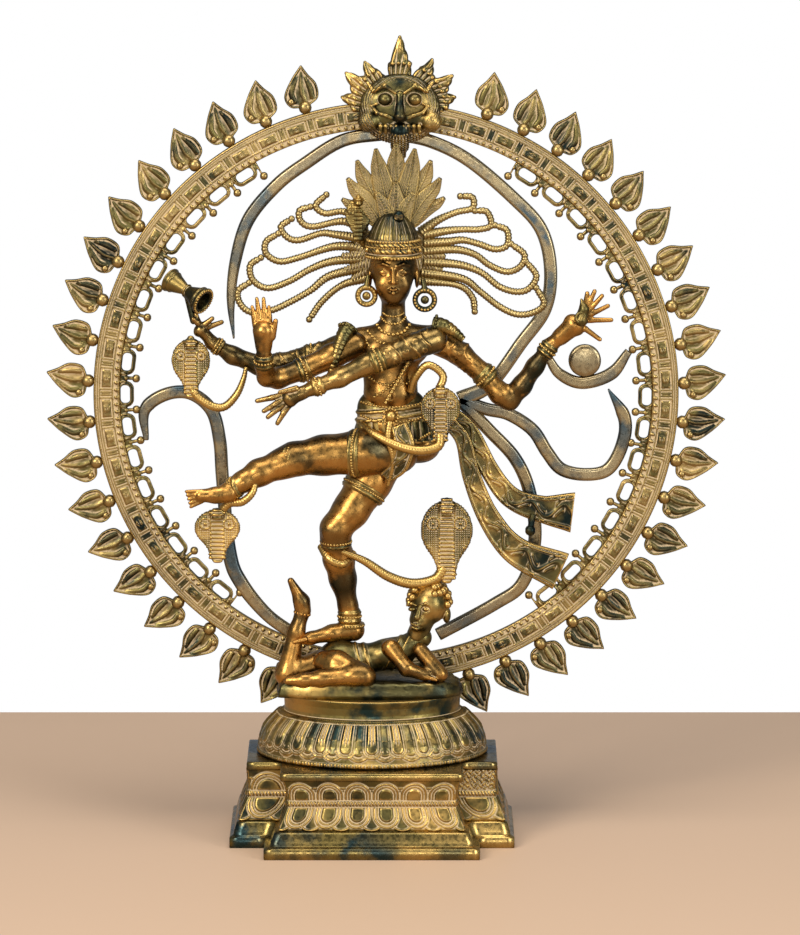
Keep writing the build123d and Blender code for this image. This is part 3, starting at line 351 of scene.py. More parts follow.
def piece(name, shape, look, *nodes, slot="figure_brass"):
    """A finished piece: mesh in metres, hollow depths stored for the wash and for the painted highlight on
    ridges, riding on the root body.
    """
    points, quads = outward(shape)
    quads = quads.astype(np.int32)
    mesh = bpy.data.meshes.new(name)
    mesh.vertices.add(len(points))
    mesh.vertices.foreach_set("co", (points * MM).ravel())
    mesh.loops.add(quads.size)
    mesh.loops.foreach_set("vertex_index", np.ascontiguousarray(quads).ravel())
    mesh.polygons.add(len(quads))
    mesh.polygons.foreach_set("loop_start", np.arange(0, quads.size, 4, dtype=np.int32))
    mesh.update(calc_edges=True)
    mesh.polygons.foreach_set("use_smooth", np.ones(len(quads), bool))
    fine, wide = hollows(points, quads, (3, 16)) if len(points) > COARSE else np.zeros((2, len(points)))
    for label, values in (("hollow", fine), ("hollow_wide", wide)):
        mesh.attributes.new(label, "FLOAT", "POINT").data.foreach_set("value", values.astype(np.float32))
    obj = bpy.data.objects.new(name, mesh)
    bpy.context.scene.collection.objects.link(obj)
    mesh.materials.append(look)
    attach(obj, "root")
    if nodes:
        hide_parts(*nodes)
    return obj


# ---- relief patterns -----------------------------------------------------------------------------


def ridge(distance, at, width):
    return np.exp(-(((distance - at) / width) ** 2))


def plateau(distance, soft=0.35):
    """1 where distance is negative, 0 outside, with a soft edge."""
    return 1 / (1 + np.exp(np.clip(distance / soft, -40, 40)))


def u_shape(x, y, half, height):
    """Distance to a U outline whose open end is at y = 0 and whose round end is at y = height."""
    return np.where(y < height - half, np.abs(x) - half, np.hypot(x, y - (height - half)) - half)


def lumps(x, z, size):
    """Uneven cast-metal grain, roughly between -1 and 1."""
    a = np.sin(x / size * 1.7 + 1.3 * np.sin(z / size * 2.1 + 0.7))
    b = np.sin(z / size * 1.3 + 1.1 * np.sin(x / size * 1.9 + 2.1))
    return a * b


def repeated(distance, pitch):
    """Distance from the middle of the nearest repeat."""
    return (distance / pitch + 0.5) % 1 * pitch - 0.5 * pitch


# ---- base ----------------------------------------------------------------------------------------

FRONT_WIDTH, FRONT_DEPTH = 160.6, plinth_high[1] - plinth_low[1]
SIDE_WIDTH, SIDE_DEPTH = plinth_high[0] - plinth_low[0], 109.0
PLINTH_Z = plinth_high[2]
# height as a share of the plinth, inset of the front block, inset of the side block
FOOT_LEVELS = [(0.91, 90, 38), (0.905, 22, 22), (0.01, 22, 22), (0.0, 21.5, 21.5), (0.0, 0.6, 0.6),
    (0.012, 0, 0),
               (0.118, 0, 0), (0.13, 0.7, 0.7), (0.148, 4.6, 2.8), (0.152, 5, 3), (0.19, 5.3,
                   3.4), (0.24, 6.6, 4.4),
               (0.285, 7.6, 5.2), (0.3, 8.4, 5.8), (0.306, 11.5, 7.4), (0.33, 12.5, 8.6)]
PETAL_LEVELS = [(0.306, 12.2, 7.8), (0.325, 11.3, 7.0), (0.57, 17.6, 13.5), (0.60, 17.9, 14.0),
    (0.645, 17.9, 14.0),
                (0.67, 18.0, 14.5), (0.75, 17.6, 14.4), (0.895, 15.0, 13.6), (0.905, 14.6, 13.4)]
TOP_LEVELS = [(0.88, 18, 17), (0.903, 13.2, 13.6), (0.907, 12.6, 13.2), (0.925, 12.2, 12.8),
    (0.982, 12.2, 12.8),
              (0.996, 12.8, 13.4), (1.0, 14, 14.5), (1.0, 40, 38), (0.99, 41, 38.5)]


def cross_corners(front, side):
    """The twelve corners of the cross-shaped outline at given insets."""
    f, fd = FRONT_WIDTH / 2 - front, FRONT_DEPTH / 2 - front
    s, sd = SIDE_WIDTH / 2 - side, SIDE_DEPTH / 2 - side
    return np.array([(-f, -fd), (f, -fd), (f, -sd), (s, -sd), (s, sd), (f, sd),
                     (f, fd), (-f, fd), (-f, sd), (-s, sd), (-s, -sd), (-f, -sd)])


def plinth_wall(levels, step_along, step_up, relief=None):
    """The cross-shaped wall of the plinth through profile levels, with relief(u, z, width) on each face."""
    profile = [levels[0]]
    for low, high in zip(levels, levels[1:]):
        rise = np.hypot((high[0] - low[0]) * PLINTH_Z, high[1] - low[1])
        count = max(int(round(rise / step_up)), 1) if relief is not None else 1
        for k in range(1, count + 1):
            profile.append(tuple(np.array(low) + (np.array(high) - np.array(low)) * k / count))
    widest = cross_corners(0, 0)
    samples = []
    for index in range(12):
        length = np.linalg.norm(widest[(index + 1) % 12] - widest[index])
        samples.append(np.linspace(0, 1, max(int(length / step_along), 2), endpoint=False))
    rows = []
    for share, front, side in profile:
        corners = cross_corners(front, side)
        z = share * PLINTH_Z
        row = []
        for index, parts in enumerate(samples):
            start, stop = corners[index], corners[(index + 1) % 12]
            run = stop - start
            length = max(np.linalg.norm(run), 1e-6)
            outward = vec(run[1], -run[0]) / length
            spots = start + run * parts[:, None]
            if relief is not None:
                u = (parts - 0.5) * length
                fade = np.clip(np.minimum(parts, 1 - parts) * length / 1.5, 0, 1)
                spots = spots + outward * (relief(u, z, length, index) * fade)[:, None]
            row.append(np.column_stack([spots, np.full(len(parts), z)]))
        rows.append(np.concatenate(row))
    return grid_mesh(np.array(rows)[:, ::-1], wrap_columns=True)


def petal(x, y, half, height):
    """One lotus petal: double outline round a raised boss."""
    d = u_shape(x, y, half, height)
    return 1.2 * ridge(d, -0.5, 0.6) + 1.0 * ridge(d, -2.7, 0.55) + 1.7 * plateau(d + 4.4, 0.4)


def plinth_relief(u, z, width, index):
    count = max(int(round(width / 21.5)), 1)
    pitch = width / count
    x = repeated(u + (0 if count % 2 else pitch / 2), pitch)
    other = repeated(u + (pitch / 2 if count % 2 else 0), pitch)
    share = z / PLINTH_Z
    if share < 0.58:
        y = (0.575 - share) * PLINTH_Z
        half, height = 0.44 * pitch, 14.6
        between = 1.1 * ridge(u_shape(other, y, 0.40 * pitch, 16.6), -0.4, 0.5)
        face = petal(x, y, half, height)
        return np.where(u_shape(x, y, half, height) < 0.5, face, between)
    if share < 0.665:
        across = (share - 0.62) * PLINTH_Z / 2.1
        body = 1.7 * np.sqrt(np.maximum(1 - across ** 2, 0))
        return body + 0.5 * body * np.sin(2 * pi * (u / 2.5 + 0.35 * across))
    y = (share - 0.665) * PLINTH_Z
    half, height = 0.45 * pitch, 12.8
    if index in (3, 9, 2, 11, 5, 8):
        return 1.3 * np.abs(lumps(u, z * np.ones_like(u), 1.5))
    return petal(x, y, half, height) + 0.8 * ridge(u_shape(other, y, 0.3 * pitch, 9), 0,
        0.5) * (u_shape(x, y, half, height) > 0.6)


def make_plinth():
    foot = plinth_wall(FOOT_LEVELS, 6, 1)
    crest = plinth_wall(TOP_LEVELS, 6, 1)
    piece("plinth", join([foot, crest]), POLISHED, "plinth", slot="base_brass")
    piece("plinth_petals", plinth_wall(PETAL_LEVELS, 0.7, 0.7, plinth_relief), RELIEF, "plinth",
        slot="base_brass")


DRUM_PETALS = 24
# height above the plinth in mm, and how far out from the neck (0) towards the rim (1)
DRUM_PROFILE = [(0, 0.86), (0.2, 0.95), (1.6, 1.0), (3.6, 1.0), (4.4, 0.975), (8, 0.95), (12, 0.90),
    (16, 0.82),
                (20, 0.70), (24, 0.54), (28, 0.34), (30, 0.22), (31.6, 0.12), (32.8, 0.02), (33.2, -0.05),
                (36, -0.07), (41, -0.06), (45.6, 0.0), (46.6, -0.01), (47, -0.06)]


def drum_relief(x, z, turn_mm):
    """Petals, beads and hatching round the drum; x is across a petal, z above the plinth."""
    y = (30.2 - z) * 1.16
    other = repeated(x + 0.5 * 20.8, 20.8)
    half, height = 8.4, 25.5
    d = u_shape(x, y, half, height)
    ribs = sum(ridge(x, shift, 0.45) for shift in (-2.3, 0,
        2.3)) * plateau(y - 13 - 1.5 * (np.abs(x) < 1), 0.6)
    face = 1.3 * ridge(d, -0.4, 0.55) + 1.0 * ridge(d, -2.2, 0.5) + 1.4 * plateau(d + 3.7,
        0.4) + 0.9 * ribs * (d < -3.7)
    outer = u_shape(other, y, 8.8, 27.8)
    between = 1.3 * ridge(outer, -0.3, 0.5) + 0.9 * ridge(outer, -2.2, 0.5) + plateau(outer + 4.2, 0.4)
    leaf = np.where(d < 0.5, face, between) * (z > 4.6) * (z < 30.2)
    grains = np.abs(np.sin(pi * turn_mm / 2.5))
    low = 1.0 * grains * np.sqrt(np.maximum(1 - ((z - 2.6) / 1.7) ** 2, 0))
    high = (0.9 * ridge(z, 31.0, 0.5) + 0.7 * ridge(z, 32.4,
        0.4)) * (0.4 + 0.6 * np.abs(np.sin(pi * turn_mm / 1.9)))
    return leaf + low + high


def make_drum():
    top_half = vec(67.5, 48.0)
    growth = (drum_high[:2] - drum_low[:2]) / 2 - top_half
    turns = np.linspace(0, 2 * pi, 2400, endpoint=False) - pi / 2
    ring_line = np.column_stack([(top_half[0] + 0.7 * growth[0]) * np.cos(turns),
        (top_half[1] + 0.7 * growth[1]) * np.sin(turns)])
    gaps = np.linalg.norm(np.diff(ring_line, axis=0, append=ring_line[:1]), axis=1)
    along = np.concatenate([[0], np.cumsum(gaps)])
    even = np.linspace(0, along[-1], 600, endpoint=False)
    turn = np.interp(even, along, np.append(turns, turns[0] + 2 * pi))
    pitch = along[-1] / DRUM_PETALS
    profile = np.array(DRUM_PROFILE, float)
    length = np.concatenate([[0],
        np.cumsum(np.hypot(np.diff(profile[:, 0]), 18 * np.diff(profile[:, 1])))])
    fine = np.unique(np.concatenate([np.arange(0, length[-1], 0.8), length]))
    heights, outs = np.interp(fine, length, profile[:, 0]), np.interp(fine, length, profile[:, 1])
    rows = []
    for z, out in zip(heights, outs):
        half = top_half + out * growth
        spots = np.column_stack([half[0] * np.cos(turn), half[1] * np.sin(turn)])
        outward = np.column_stack([half[1] * np.cos(turn), half[0] * np.sin(turn)])
        outward /= np.linalg.norm(outward, axis=1)[:, None]
        raised = drum_relief(repeated(even, pitch) * 20.8 / pitch, z, even) if 0.4 < z < 33 else 0 * even
        spots = spots + outward * raised[:, None]
        rows.append(np.column_stack([spots,
            np.full(len(turn), drum_low[2] + z + 0.35 * raised * (z > 20))]))
    for shrink in (0.6, 0.05):
        cap = rows[-1].copy()
        cap[:, :2] = np.column_stack([top_half[0] * np.cos(turn), top_half[1] * np.sin(turn)]) * shrink
        cap[:, 2] = TOP
        rows.append(cap)
    under = rows[0].copy()
    under[:, :2] *= 0.7
    piece("lotus_drum", grid_mesh(np.array([under] + rows)[:, ::-1], wrap_columns=True), DRUM_LOOK,
        "lotus_drum",
          slot="base_brass")


# ---- ring ----------------------------------------------------------------------------------------

CARTOUCHES = 58
LATTICE_PITCH = 7.4
LATTICE_LEFT = (119.0, 234.0)
LATTICE_RIGHT = (-55.0, 61.0)
FLAME_LENGTH, FLAME_WIDTH = 31.5, 26.5
FLAME_BALL = 5.2


def ring_bend(points, radius_of, arc_radius, start=0.0):
    """Bend a straight strip (x along, y depth, z outwards) round the ring, from angle start in degrees."""
    angle = radians(start) + points[:, 0] / arc_radius
    radius = radius_of + points[:, 2]
    return np.column_stack([
        RING_CENTRE[0] + radius * np.cos(angle), RING_CENTRE[1] + points[:,
            1], RING_CENTRE[2] + radius * np.sin(angle)])


def ring_at(radius, angle, depth=0.0):
    return vec(RING_CENTRE[0] + radius * cos(radians(angle)), RING_CENTRE[1] + depth,
        RING_CENTRE[2] + radius * sin(radians(angle)))


def band_relief(x, r):
    """Half thickness of the band: x across one cartouche cell (22.7 mm long), r from the inner edge."""
    body = np.maximum(np.abs(x) - 6.7, np.abs(r - 9.9) - 3.3)
    dot = np.hypot(x, r - 9.9)
    grain = np.hypot(repeated(x + 2.8, 5.67), r - 2.5)
    in_channel = plateau(np.abs(r - 9.9) - 4.6, 0.15)
    ties = ridge(np.abs(x), 8.1, 0.42) + ridge(np.abs(x), 9.6, 0.42) + ridge(np.abs(x), 11.3, 0.42)
    mill = 0.5 + 0.5 * np.sin(2 * pi * x / 1.746)
    height = 2.7 + 1.2 * plateau(body, 0.2) + 0.9 * ridge(dot, 1.9, 0.4) * (body < 0) + 0.8 * ridge(dot,
        0, 0.6)
    height = height + 1.2 * ties * in_channel + 1.3 * ridge(r, 5.1, 0.4) + 1.3 * ridge(r, 14.9, 0.4)
    height = height + 1.5 * np.sqrt(np.maximum(1 - (grain / 1.5) ** 2, 0)) + 0.7 * ridge(r, 0.4, 0.45)
    return height + 1.2 * ridge(r, 16.6, 0.45) + (0.3 + 0.9 * mill) * plateau(np.abs(r - 18.6) - 0.8, 0.1)


def make_band():
    cells, per_cell = CARTOUCHES, 24
    cell = 22.7
    x = ((np.arange(per_cell) + 0.5) / per_cell - 0.5) * cell
    front_r = np.linspace(0, BAND_WIDTH, 27)
    back_r = np.linspace(BAND_WIDTH, 0, 12)
    front = -band_relief(x[:, None], front_r[None, :])
    back = band_relief(x[:, None], back_r[None, :])
    depth = np.concatenate([front, back], 1)
    radius = np.concatenate([front_r, back_r])
    whole = np.tile(depth, (cells, 1))
    angle = np.linspace(0, 2 * pi, cells * per_cell, endpoint=False)[:, None]
    places = np.stack([
        RING_CENTRE[0] + (BAND_INSIDE + radius[None, :]) * np.cos(angle),
        RING_CENTRE[1] + whole,
        RING_CENTRE[2] + (BAND_INSIDE + radius[None, :]) * np.sin(angle)], -1)
    piece("ring_band", grid_mesh(places, wrap_rows=True, wrap_columns=True), RING_LOOK, "ring_band",
        slot="ring_brass")


def make_lattice(name, first, last):
    """Linked frames round rounded openings, with a bead on the strut between neighbours."""
    middle = LATTICE_INSIDE + 5.0
    count = round((last - first) / LATTICE_PITCH)
    pitch = radians(last - first) / count * middle
    length = pitch * count
    step = 0.8

    def distance(x, y, z):
        hole_x = np.abs(repeated(x - 0.5 * pitch, pitch)) - 3.9
        hole_z = np.abs(z - 5.6) - 0.6
        hole = np.hypot(np.maximum(hole_x, 0),
            np.maximum(hole_z, 0)) + np.minimum(np.maximum(hole_x, hole_z), 0) - 2.9
        frame_line = hole - 3.0
        strut = repeated(x, pitch)
        bridge = np.maximum(np.abs(strut) - 5.6, np.abs(z - 8.0) - 3.6)
        stem = np.maximum(np.abs(strut) - 1.3, np.abs(z - 2) - 3.4)
        outline = np.minimum(np.minimum(frame_line, bridge), stem)
        outline = np.maximum(np.maximum(outline, -hole), z - 10.4)
        half = 1.5 + 1.2 * ridge(hole, 0.8, 0.55) + 0.9 * ridge(hole, 2.6, 0.45)
        half = half + 1.0 * ridge(np.hypot(strut, z - 5.4), 0, 1.2) + 0.8 * ridge(np.abs(strut), 2.8,
            0.4) * (z > 5.5)
        outline = np.maximum(outline, np.maximum(-x, x - length))
        return np.maximum(outline, np.abs(y) - half)

    clay = Clay((0, -4, -7), (length, 4, 11), step)
    clay.add((distance, vec(0, -4, -7), vec(length, 4, 11)))
    points, quads = clay.mesh()
    strip = ring_bend(points, LATTICE_INSIDE, middle, first), quads
    spots = [ring_at(LATTICE_INSIDE - 2.3, first + (last - first) * k / count) for k in range(count + 1)]
    piece(name, join([strip, beads(spots, 3.2)]), RING_LOOK, name, slot="ring_brass")


def polygon_distance(x, y, outline):
    """Signed distance to a closed outline, negative inside."""
    best = np.full(np.broadcast(x, y).shape, 1e9)
    inside = np.zeros(best.shape, bool)
    for (ax, ay), (bx, by) in zip(outline, np.roll(outline, -1, axis=0)):
        run_x, run_y = bx - ax, by - ay
        t = np.clip(((x - ax) * run_x + (y - ay) * run_y) / (run_x ** 2 + run_y ** 2 + 1e-12), 0, 1)
        best = np.minimum(best, np.hypot(x - ax - t * run_x, y - ay - t * run_y))
        crosses = (ay > y) != (by > y)
        inside ^= crosses & (x < (bx - ax) * (y - ay) / (by - ay + 1e-12) + ax)
    return np.where(inside, -best, best)


def flame_shape(side):
    """One flame along +x: rimmed leaf with raised teardrop lobes, and its two balls."""
    length, half = FLAME_LENGTH, FLAME_WIDTH / 2
    lower = curve([(0, -0.22 * half), (0.08 * length, -0.80 * half), (0.36 * length, -0.98 * half),
                   (0.70 * length, -0.38 * half), (length, 0.42 * half)], 1.2)
    upper = curve([(length, 0.42 * half), (0.74 * length, 0.66 * half), (0.46 * length, 0.98 * half),
                   (0.14 * length, 0.86 * half), (0, 0.22 * half)], 1.2)
    outline = np.concatenate([lower, upper[1:]])
    clay = Clay((-2, -4, -half - 1), (length + 1, 4, half + 1), 0.85)

    def leaf(x, y, z):
        d = polygon_distance(x, side * z, outline) * np.ones_like(y)
        centre = 0.10 * half + 0.3 * half * (x / length) ** 2
        vein = ridge(side * z - centre, 0, 0.5) * plateau(x - 0.8 * length, 1)
        thick = 1.2 + 1.5 * ridge(d, -0.8, 0.75) + 0.8 * vein
        return np.maximum(d, np.abs(y) - thick)

    clay.add((leaf, vec(-2, -4, -half - 1), vec(length + 1, 4, half + 1)))
    lobes = (((0.20, -0.48), (0.44, -0.50), (0.80, 0.06), 2.1),
        ((0.14, 0.10), (0.40, 0.04), (0.84, 0.32), 1.5),
             ((0.18, 0.56), (0.42, 0.58), (0.74, 0.46), 2.1))
    for a, b, c, thick in lobes:
        path = curve([(u * length, 0, side * v * half) for u, v in (a, b, c)], 2.0)
        sizes = thick * np.sqrt(np.maximum(1 - np.linspace(-0.55, 1, len(path)) ** 2, 0.02))
        clay.add(*chain(*[(tuple(p + vec(0, 0, 0)), r * 0.85 + 0.15) for p, r in zip(path, sizes + 0.9)]))
    leaf_points, leaf_quads = clay.mesh()
    leaf_points = leaf_points + vec(RING_RADIUS + 0.9 * FLAME_BALL, 0, 0)
    balls = beads([(RING_RADIUS + 0.85 * FLAME_BALL, 0, 0),
        (RING_RADIUS + 2.1 * FLAME_BALL, -0.5, -side * 0.34 * FLAME_WIDTH)],
                  [FLAME_BALL, 0.55 * FLAME_BALL])
    return join([(leaf_points, leaf_quads), balls])


def make_flames(name, first, last, count, side):
    points, quads = flame_shape(side)
    copies = []
    for index in range(count):
        angle = radians(first + (last - first) * index / (count - 1))
        turned = np.column_stack([
            points[:, 0] * cos(angle) - points[:, 2] * sin(angle), points[:, 1],
            points[:, 0] * sin(angle) + points[:, 2] * cos(angle)])
        copies.append((turned + RING_CENTRE, quads))
    piece(name, join(copies), RING_LOOK, name, slot="ring_brass")


# ---- openwork bars -------------------------------------------------------------------------------


def at(x, z, y=0.0):
    """A point of the figure, given above the middle of the drum's top."""
    return vec(x, y, TOP + z)


BAR = 10.0
BAR_THICKNESS = 6.5


def bar(name, points, widths):
    places = [(p[0], RING_CENTRE[1], p[-1]) for p in points]
    shape = strap(places, widths, BAR_THICKNESS, step=1.2, across=1.0, rounding=0.42)
    piece(name, shape, BAR_LOOK, name, slot="bar_brass")


def make_bars():
    w = BAR
    inner = LATTICE_INSIDE - 5.5
    meeting = at(66, 217)
    bar("bar_top_left",
        [ring_at(BAND_INSIDE - 4, 90), ring_at(BAND_INSIDE - 6.5, 99.5), at(-50, 396), at(-72, 379),
            at(-93, 353),
         at(-103, 320), at(-106, 290), at(-104, 264)], [w, w, w, w, w, 0.9 * w, 0.7 * w, 1.5])
    bar("bar_top_right",
        [ring_at(BAND_INSIDE - 4, 88), ring_at(BAND_INSIDE - 7, 80), at(73, 398), at(107, 369),
            at(127, 346),
         at(134, 316), at(130, 286), at(112, 260), at(89, 229), meeting], [w] * 9 + [1.3 * w])
    bar("bar_lower_right",
        [meeting, at(88, 194), at(108, 172), at(119, 146), at(123, 110), ring_at(178, -54.5),
            ring_at(181, -63),
         ring_at(189, -78)], [w] * 8)
    bar("bar_lower_left",
        [ring_at(inner - 1, 191), ring_at(inner - 3, 184), at(-156, 221), at(-137, 222), at(-121, 209),
            at(-115, 186),
         at(-113, 157), at(-108, 100), ring_at(182, -127), ring_at(192, -118), ring_at(198, -110)],
        [4, w, w, w, w, w, w, 1.1 * w, 1.1 * w, w, w])
    bar("bar_tail",
        [meeting, at(86, 210), at(103, 206), at(121, 194), at(132, 177), at(143, 164), at(161, 160),
            at(178, 164),
         ring_at(inner - 3, -12.5), ring_at(inner - 4.5, -6), at(178, 225)], [w] * 10 + [1.5])
    bar("bar_crescent",
        [at(132, 250), at(141, 237), at(158, 230), at(180, 237), ring_at(inner, 10.0)], [6, 9, w, w, 6])
    turn = np.linspace(0, 2 * pi, 64, endpoint=False)
    rows = []
    for radius, depth in ((0.3, -3.5), (9, -3.4), (11.4, -3.0), (12.25, -1.8), (12.25, 1.8), (11.4, 3.0),
        (9, 3.4), (0.3, 3.5)):
        rows.append(np.column_stack([160 + radius * np.cos(turn), RING_CENTRE[1] + depth + 0 * turn,
                                     TOP + 247 + radius * np.sin(turn)]))
    piece("bar_disc", grid_mesh(np.array(rows)[:, ::-1], wrap_columns=True), BAR_LOOK, "bar_disc",
        slot="bar_brass")


# ---- the figure ----------------------------------------------------------------------------------


def front_of(clay, x, z, default=-10.0):
    """Depth of a clay body's front surface at (x, z)."""
    i = int(round((x - clay.low[0]) / clay.step))
    k = int(round((z - clay.low[2]) / clay.step))
    column = clay.values[min(max(i, 0), clay.values.shape[0] - 1), :,
        min(max(k, 0), clay.values.shape[2] - 1)]
    solid = np.flatnonzero(column < 0)
    return clay.low[1] + clay.step * solid[0] if len(solid) else default


def bead_string(points, radius, clay=None, gap=1.0, out=0.3):
    """Touching beads along a line; with a clay body the line is laid on its front."""
    line = curve(points, 2 * radius * gap)
    if clay is not None:
        line[:, 1] = [front_of(clay, p[0], p[2], p[1]) - out * radius for p in line]
    return beads(line, radius)


def around(centre, axis, radius, bead):
    """Beads round a limb."""
    n = np.array(axis, float)
    n /= np.linalg.norm(n)
    a = np.cross(n, (0, 1, 0)) if abs(n[1]) < 0.9 else np.cross(n, (1, 0, 0))
    a /= np.linalg.norm(a)
    b = np.cross(n, a)
    count = int(2 * pi * radius / (2.1 * bead))
    turn = np.arange(count) / count * 2 * pi
    return beads(np.array(centre) + radius * (np.cos(turn)[:, None] * a + np.sin(turn)[:, None] * b),
        bead)


def band_round(centre, axis, radius, width, bead=1.1):
    """A jewelled band: two round hoops with a row of beads between."""
    n = np.array(axis, float)
    n /= np.linalg.norm(n)
    clay_low = np.array(centre) - radius - 3
    clay = Clay(clay_low, np.array(centre) + radius + 3, 0.8)
    for shift in (-0.5, 0.5):
        clay.add(hoop(np.array(centre) + n * width * shift, axis, radius, 0.95))
    clay.add(hoop(centre, axis, radius - 0.6, 1.0, squash=1.0 / max(width, 1)))
    return join([clay.mesh(), around(centre, axis, radius + 0.3, bead)])


def carve(shape, pattern):
    """Raise a meshed body along its normals by pattern(x, y, z)."""
    points, quads = shape
    normal = normals_of(points, quads)
    amount = pattern(points[:, 0], points[:, 1], points[:, 2])
    return points + normal * amount[:, None], quads


def scroll(x, z, size=4.2):
    """Scrolling vine relief as raised lines with small dots between."""
    wave = np.sin(x / size + 1.6 * np.sin(z / (1.3 * size)))
    return 0.6 * ridge(wave, 0, 0.22) + 0.45 * ridge(np.sin(x / size * 2) * np.sin(z / size * 2), 0.8,
        0.25)


# heights of the upper and the lower eyelid
LID_TOP = 321.9
LID_LOW = 317.6


def make_head():
    clay = Clay(at(-6, 284, -28), at(38, 346, 20), 0.6)
    clay.add(blob(at(16, 323, -1), (17.6, 18.5, 19)))
    clay.add(blob(at(16, 308, -6), (12.8, 13, 14)), blend=6)
    clay.add(blob(at(16, 299.5, -12), (4.6, 4.6, 4)), blend=5)
    clay.add(rod(at(16, 300, -3), at(16, 284, -3), 8.6, 9.2), blend=3)
    for side in (-1, 1):
        clay.add(blob(at(16 + side * 7.8, 310, -13.5), (4.6, 4.2, 5.4)), blend=4)
        clay.add(*chain((at(16 + side * 2.8, 324.6, -19.2), 0.9),
            (at(16 + side * 7.5, 326.4, -18.0), 0.9),
                        (at(16 + side * 12, 324.6, -14.5), 0.7)), blend=1.2)
        clay.cut(blob(at(16 + side * 7.2, 320.2, -19.5), (4.8, 2.2, 2.9)), blend=1.5)
        clay.add(blob(at(16 + side * 7.2, 319.8, -15.6), (4.0, 3.0, 2.3)), blend=0.5)
        for z in (LID_TOP, LID_LOW):
            clay.add(*chain((at(16 + side * 3.3, 319.5, -17.6), 0.4),
                (at(16 + side * 7.2, z, -18.2), 0.55),
                            (at(16 + side * 11.6, 319.6, -15.2), 0.4)), blend=0.4)
        clay.add(blob(at(16 + side * 2.5, 312.6, -21), (1.7, 1.8, 1.4)), blend=0.8)
        clay.add(blob(at(16 + side * 17.6, 314, -1), (1.8, 4.2, 8)), blend=1)
    clay.add(rod(at(16, 322.5, -19), at(16, 313.2, -23.2), 1.5, 2.1), blend=1.6)
    clay.add(*chain((at(11.6, 306.4, -18), 0.5), (at(14.2, 307.5, -20), 1.0), (at(16, 307.0, -20.4), 0.8),
                    (at(17.8, 307.5, -20), 1.0), (at(20.4, 306.4, -18), 0.5)), blend=0.8)
    clay.add(*chain((at(12.4, 305.4, -18.2), 0.6), (at(16, 304.4, -20), 1.25),
        (at(19.6, 305.4, -18.2), 0.6)), blend=0.8)
    piece("head", clay.mesh(), SKIN, "head")


def make_crown():
    centre = at(16, 0, -3)
    rows = []
    turn = np.linspace(0, 2 * pi, 150, endpoint=False)
    profile = [(18.6, 329.5), (20.0, 330), (20.6, 331.4), (20, 332.6), (19.4, 333), (20.6, 334.5),
        (20.8, 336), (20, 337.4),
               (19.6, 338), (20.6, 339.6), (20.4, 341), (19.2, 342.2), (18.6, 343), (18.2, 345), (17.6,
                   347.5),
               (16.4, 350), (15, 353), (13.2, 356), (11, 359), (8, 361.6), (4, 363), (0.2, 363.4)]
    profile = curve([(r, z, 0) for r, z in profile], 0.7)[:, :2]
    for r, z in profile:
        flutes = 0.5 * np.abs(np.sin(turn * 22)) * (z > 343.5) * min(1, r / 8)
        leafy = 0.6 * np.abs(np.sin(turn * 16 + (z - 334) * 0.9)) * (333.4 < z < 342)
        rows.append(np.column_stack([centre[0] + (r + flutes + leafy) * np.cos(turn),
                                     centre[1] + (r + flutes + leafy) * np.sin(turn), 0 * turn + TOP + z]))
    shape = grid_mesh(np.array(rows)[:, ::-1], wrap_columns=True)
    rings = [around(at(16, z, -3), (0, 0, 1), r, b) for z, r,
        b in ((330.6, 20.4, 1.2), (342.6, 19.6, 1.1), (338.2, 20.3, 0.9))]
    gems = [beads([at(16 + 20.6 * sin(a), 335.8,
        -3 - 20.6 * cos(a)) for a in np.radians((-70, -35, 0, 35, 70))], 2.2)]
    skull = Clay(at(12, 352, -22), at(29, 368, -6), 0.5)
    skull.add(blob(at(20, 361, -13), (4.2, 3.6, 4.6)))
    skull.cut(rod(at(18.4, 361, -17), at(18.4, 361, -14), 1.1, 1.1),
        rod(at(21.8, 361, -17), at(21.8, 361, -14), 1.1, 1.1))
    skull.add(blob(at(20, 355.5, -12), (3, 2.6, 2.4)), blend=0.6)
    piece("crown", join([shape, skull.mesh()] + rings + gems), RELIEF, "crown")


def feather(u, v, half):
    """Herringbone barbs either side of a quill, inside a rim."""
    barbs = 0.45 + 0.45 * np.sin(2 * pi * (v - 1.5 * np.abs(u) * half) / 2.6)
    return 0.9 * ridge(u * half, 0, 0.6) + 0.9 * barbs * (np.abs(u) > 0.12) + 0.9 * ridge(np.abs(u),
        0.93, 0.09)


def make_crest():
    fans = []
    tips = ((-22, 372, 10), (-18, 388, 12), (-11, 401, 13), (3, 410, 14), (18, 414, 15), (32, 410, 14),
        (44, 401, 13),
            (51, 388, 12), (54, 373, 10))
    for order, (x, z, width) in enumerate(tips):
        depth = 4 - 2.6 * (order % 2)
        line = [at(18 + 0.22 * (x - 18), 350, depth),
            at(18 + 0.58 * (x - 18), 356 + 0.42 * (z - 356), depth),
                at(18 + 0.86 * (x - 18), 356 + 0.76 * (z - 356), depth), at(x, z, depth - 1.5)]
        fans.append(strap(line, [width * 0.6, width, width * 1.15, width * 1.1, width * 0.85, 3.0], 3.2,
            relief=feather, step=0.6,
                          across=0.6))
    for x, z, width in ((4, 378, 13), (31, 378, 13), (18, 386, 14), (10, 366, 12), (26, 366, 12)):
        line = [at(18 + 0.3 * (x - 18), 348, -4), at((18 + x) / 2, 0.5 * (350 + z), -5), at(x, z, -5)]
        fans.append(strap(line, [width * 0.7, width, width * 0.9, 3], 3.0, relief=feather, step=0.6,
            across=0.6))
    piece("crest_plumes", join(fans), PLUME_LOOK, "crest_plumes")


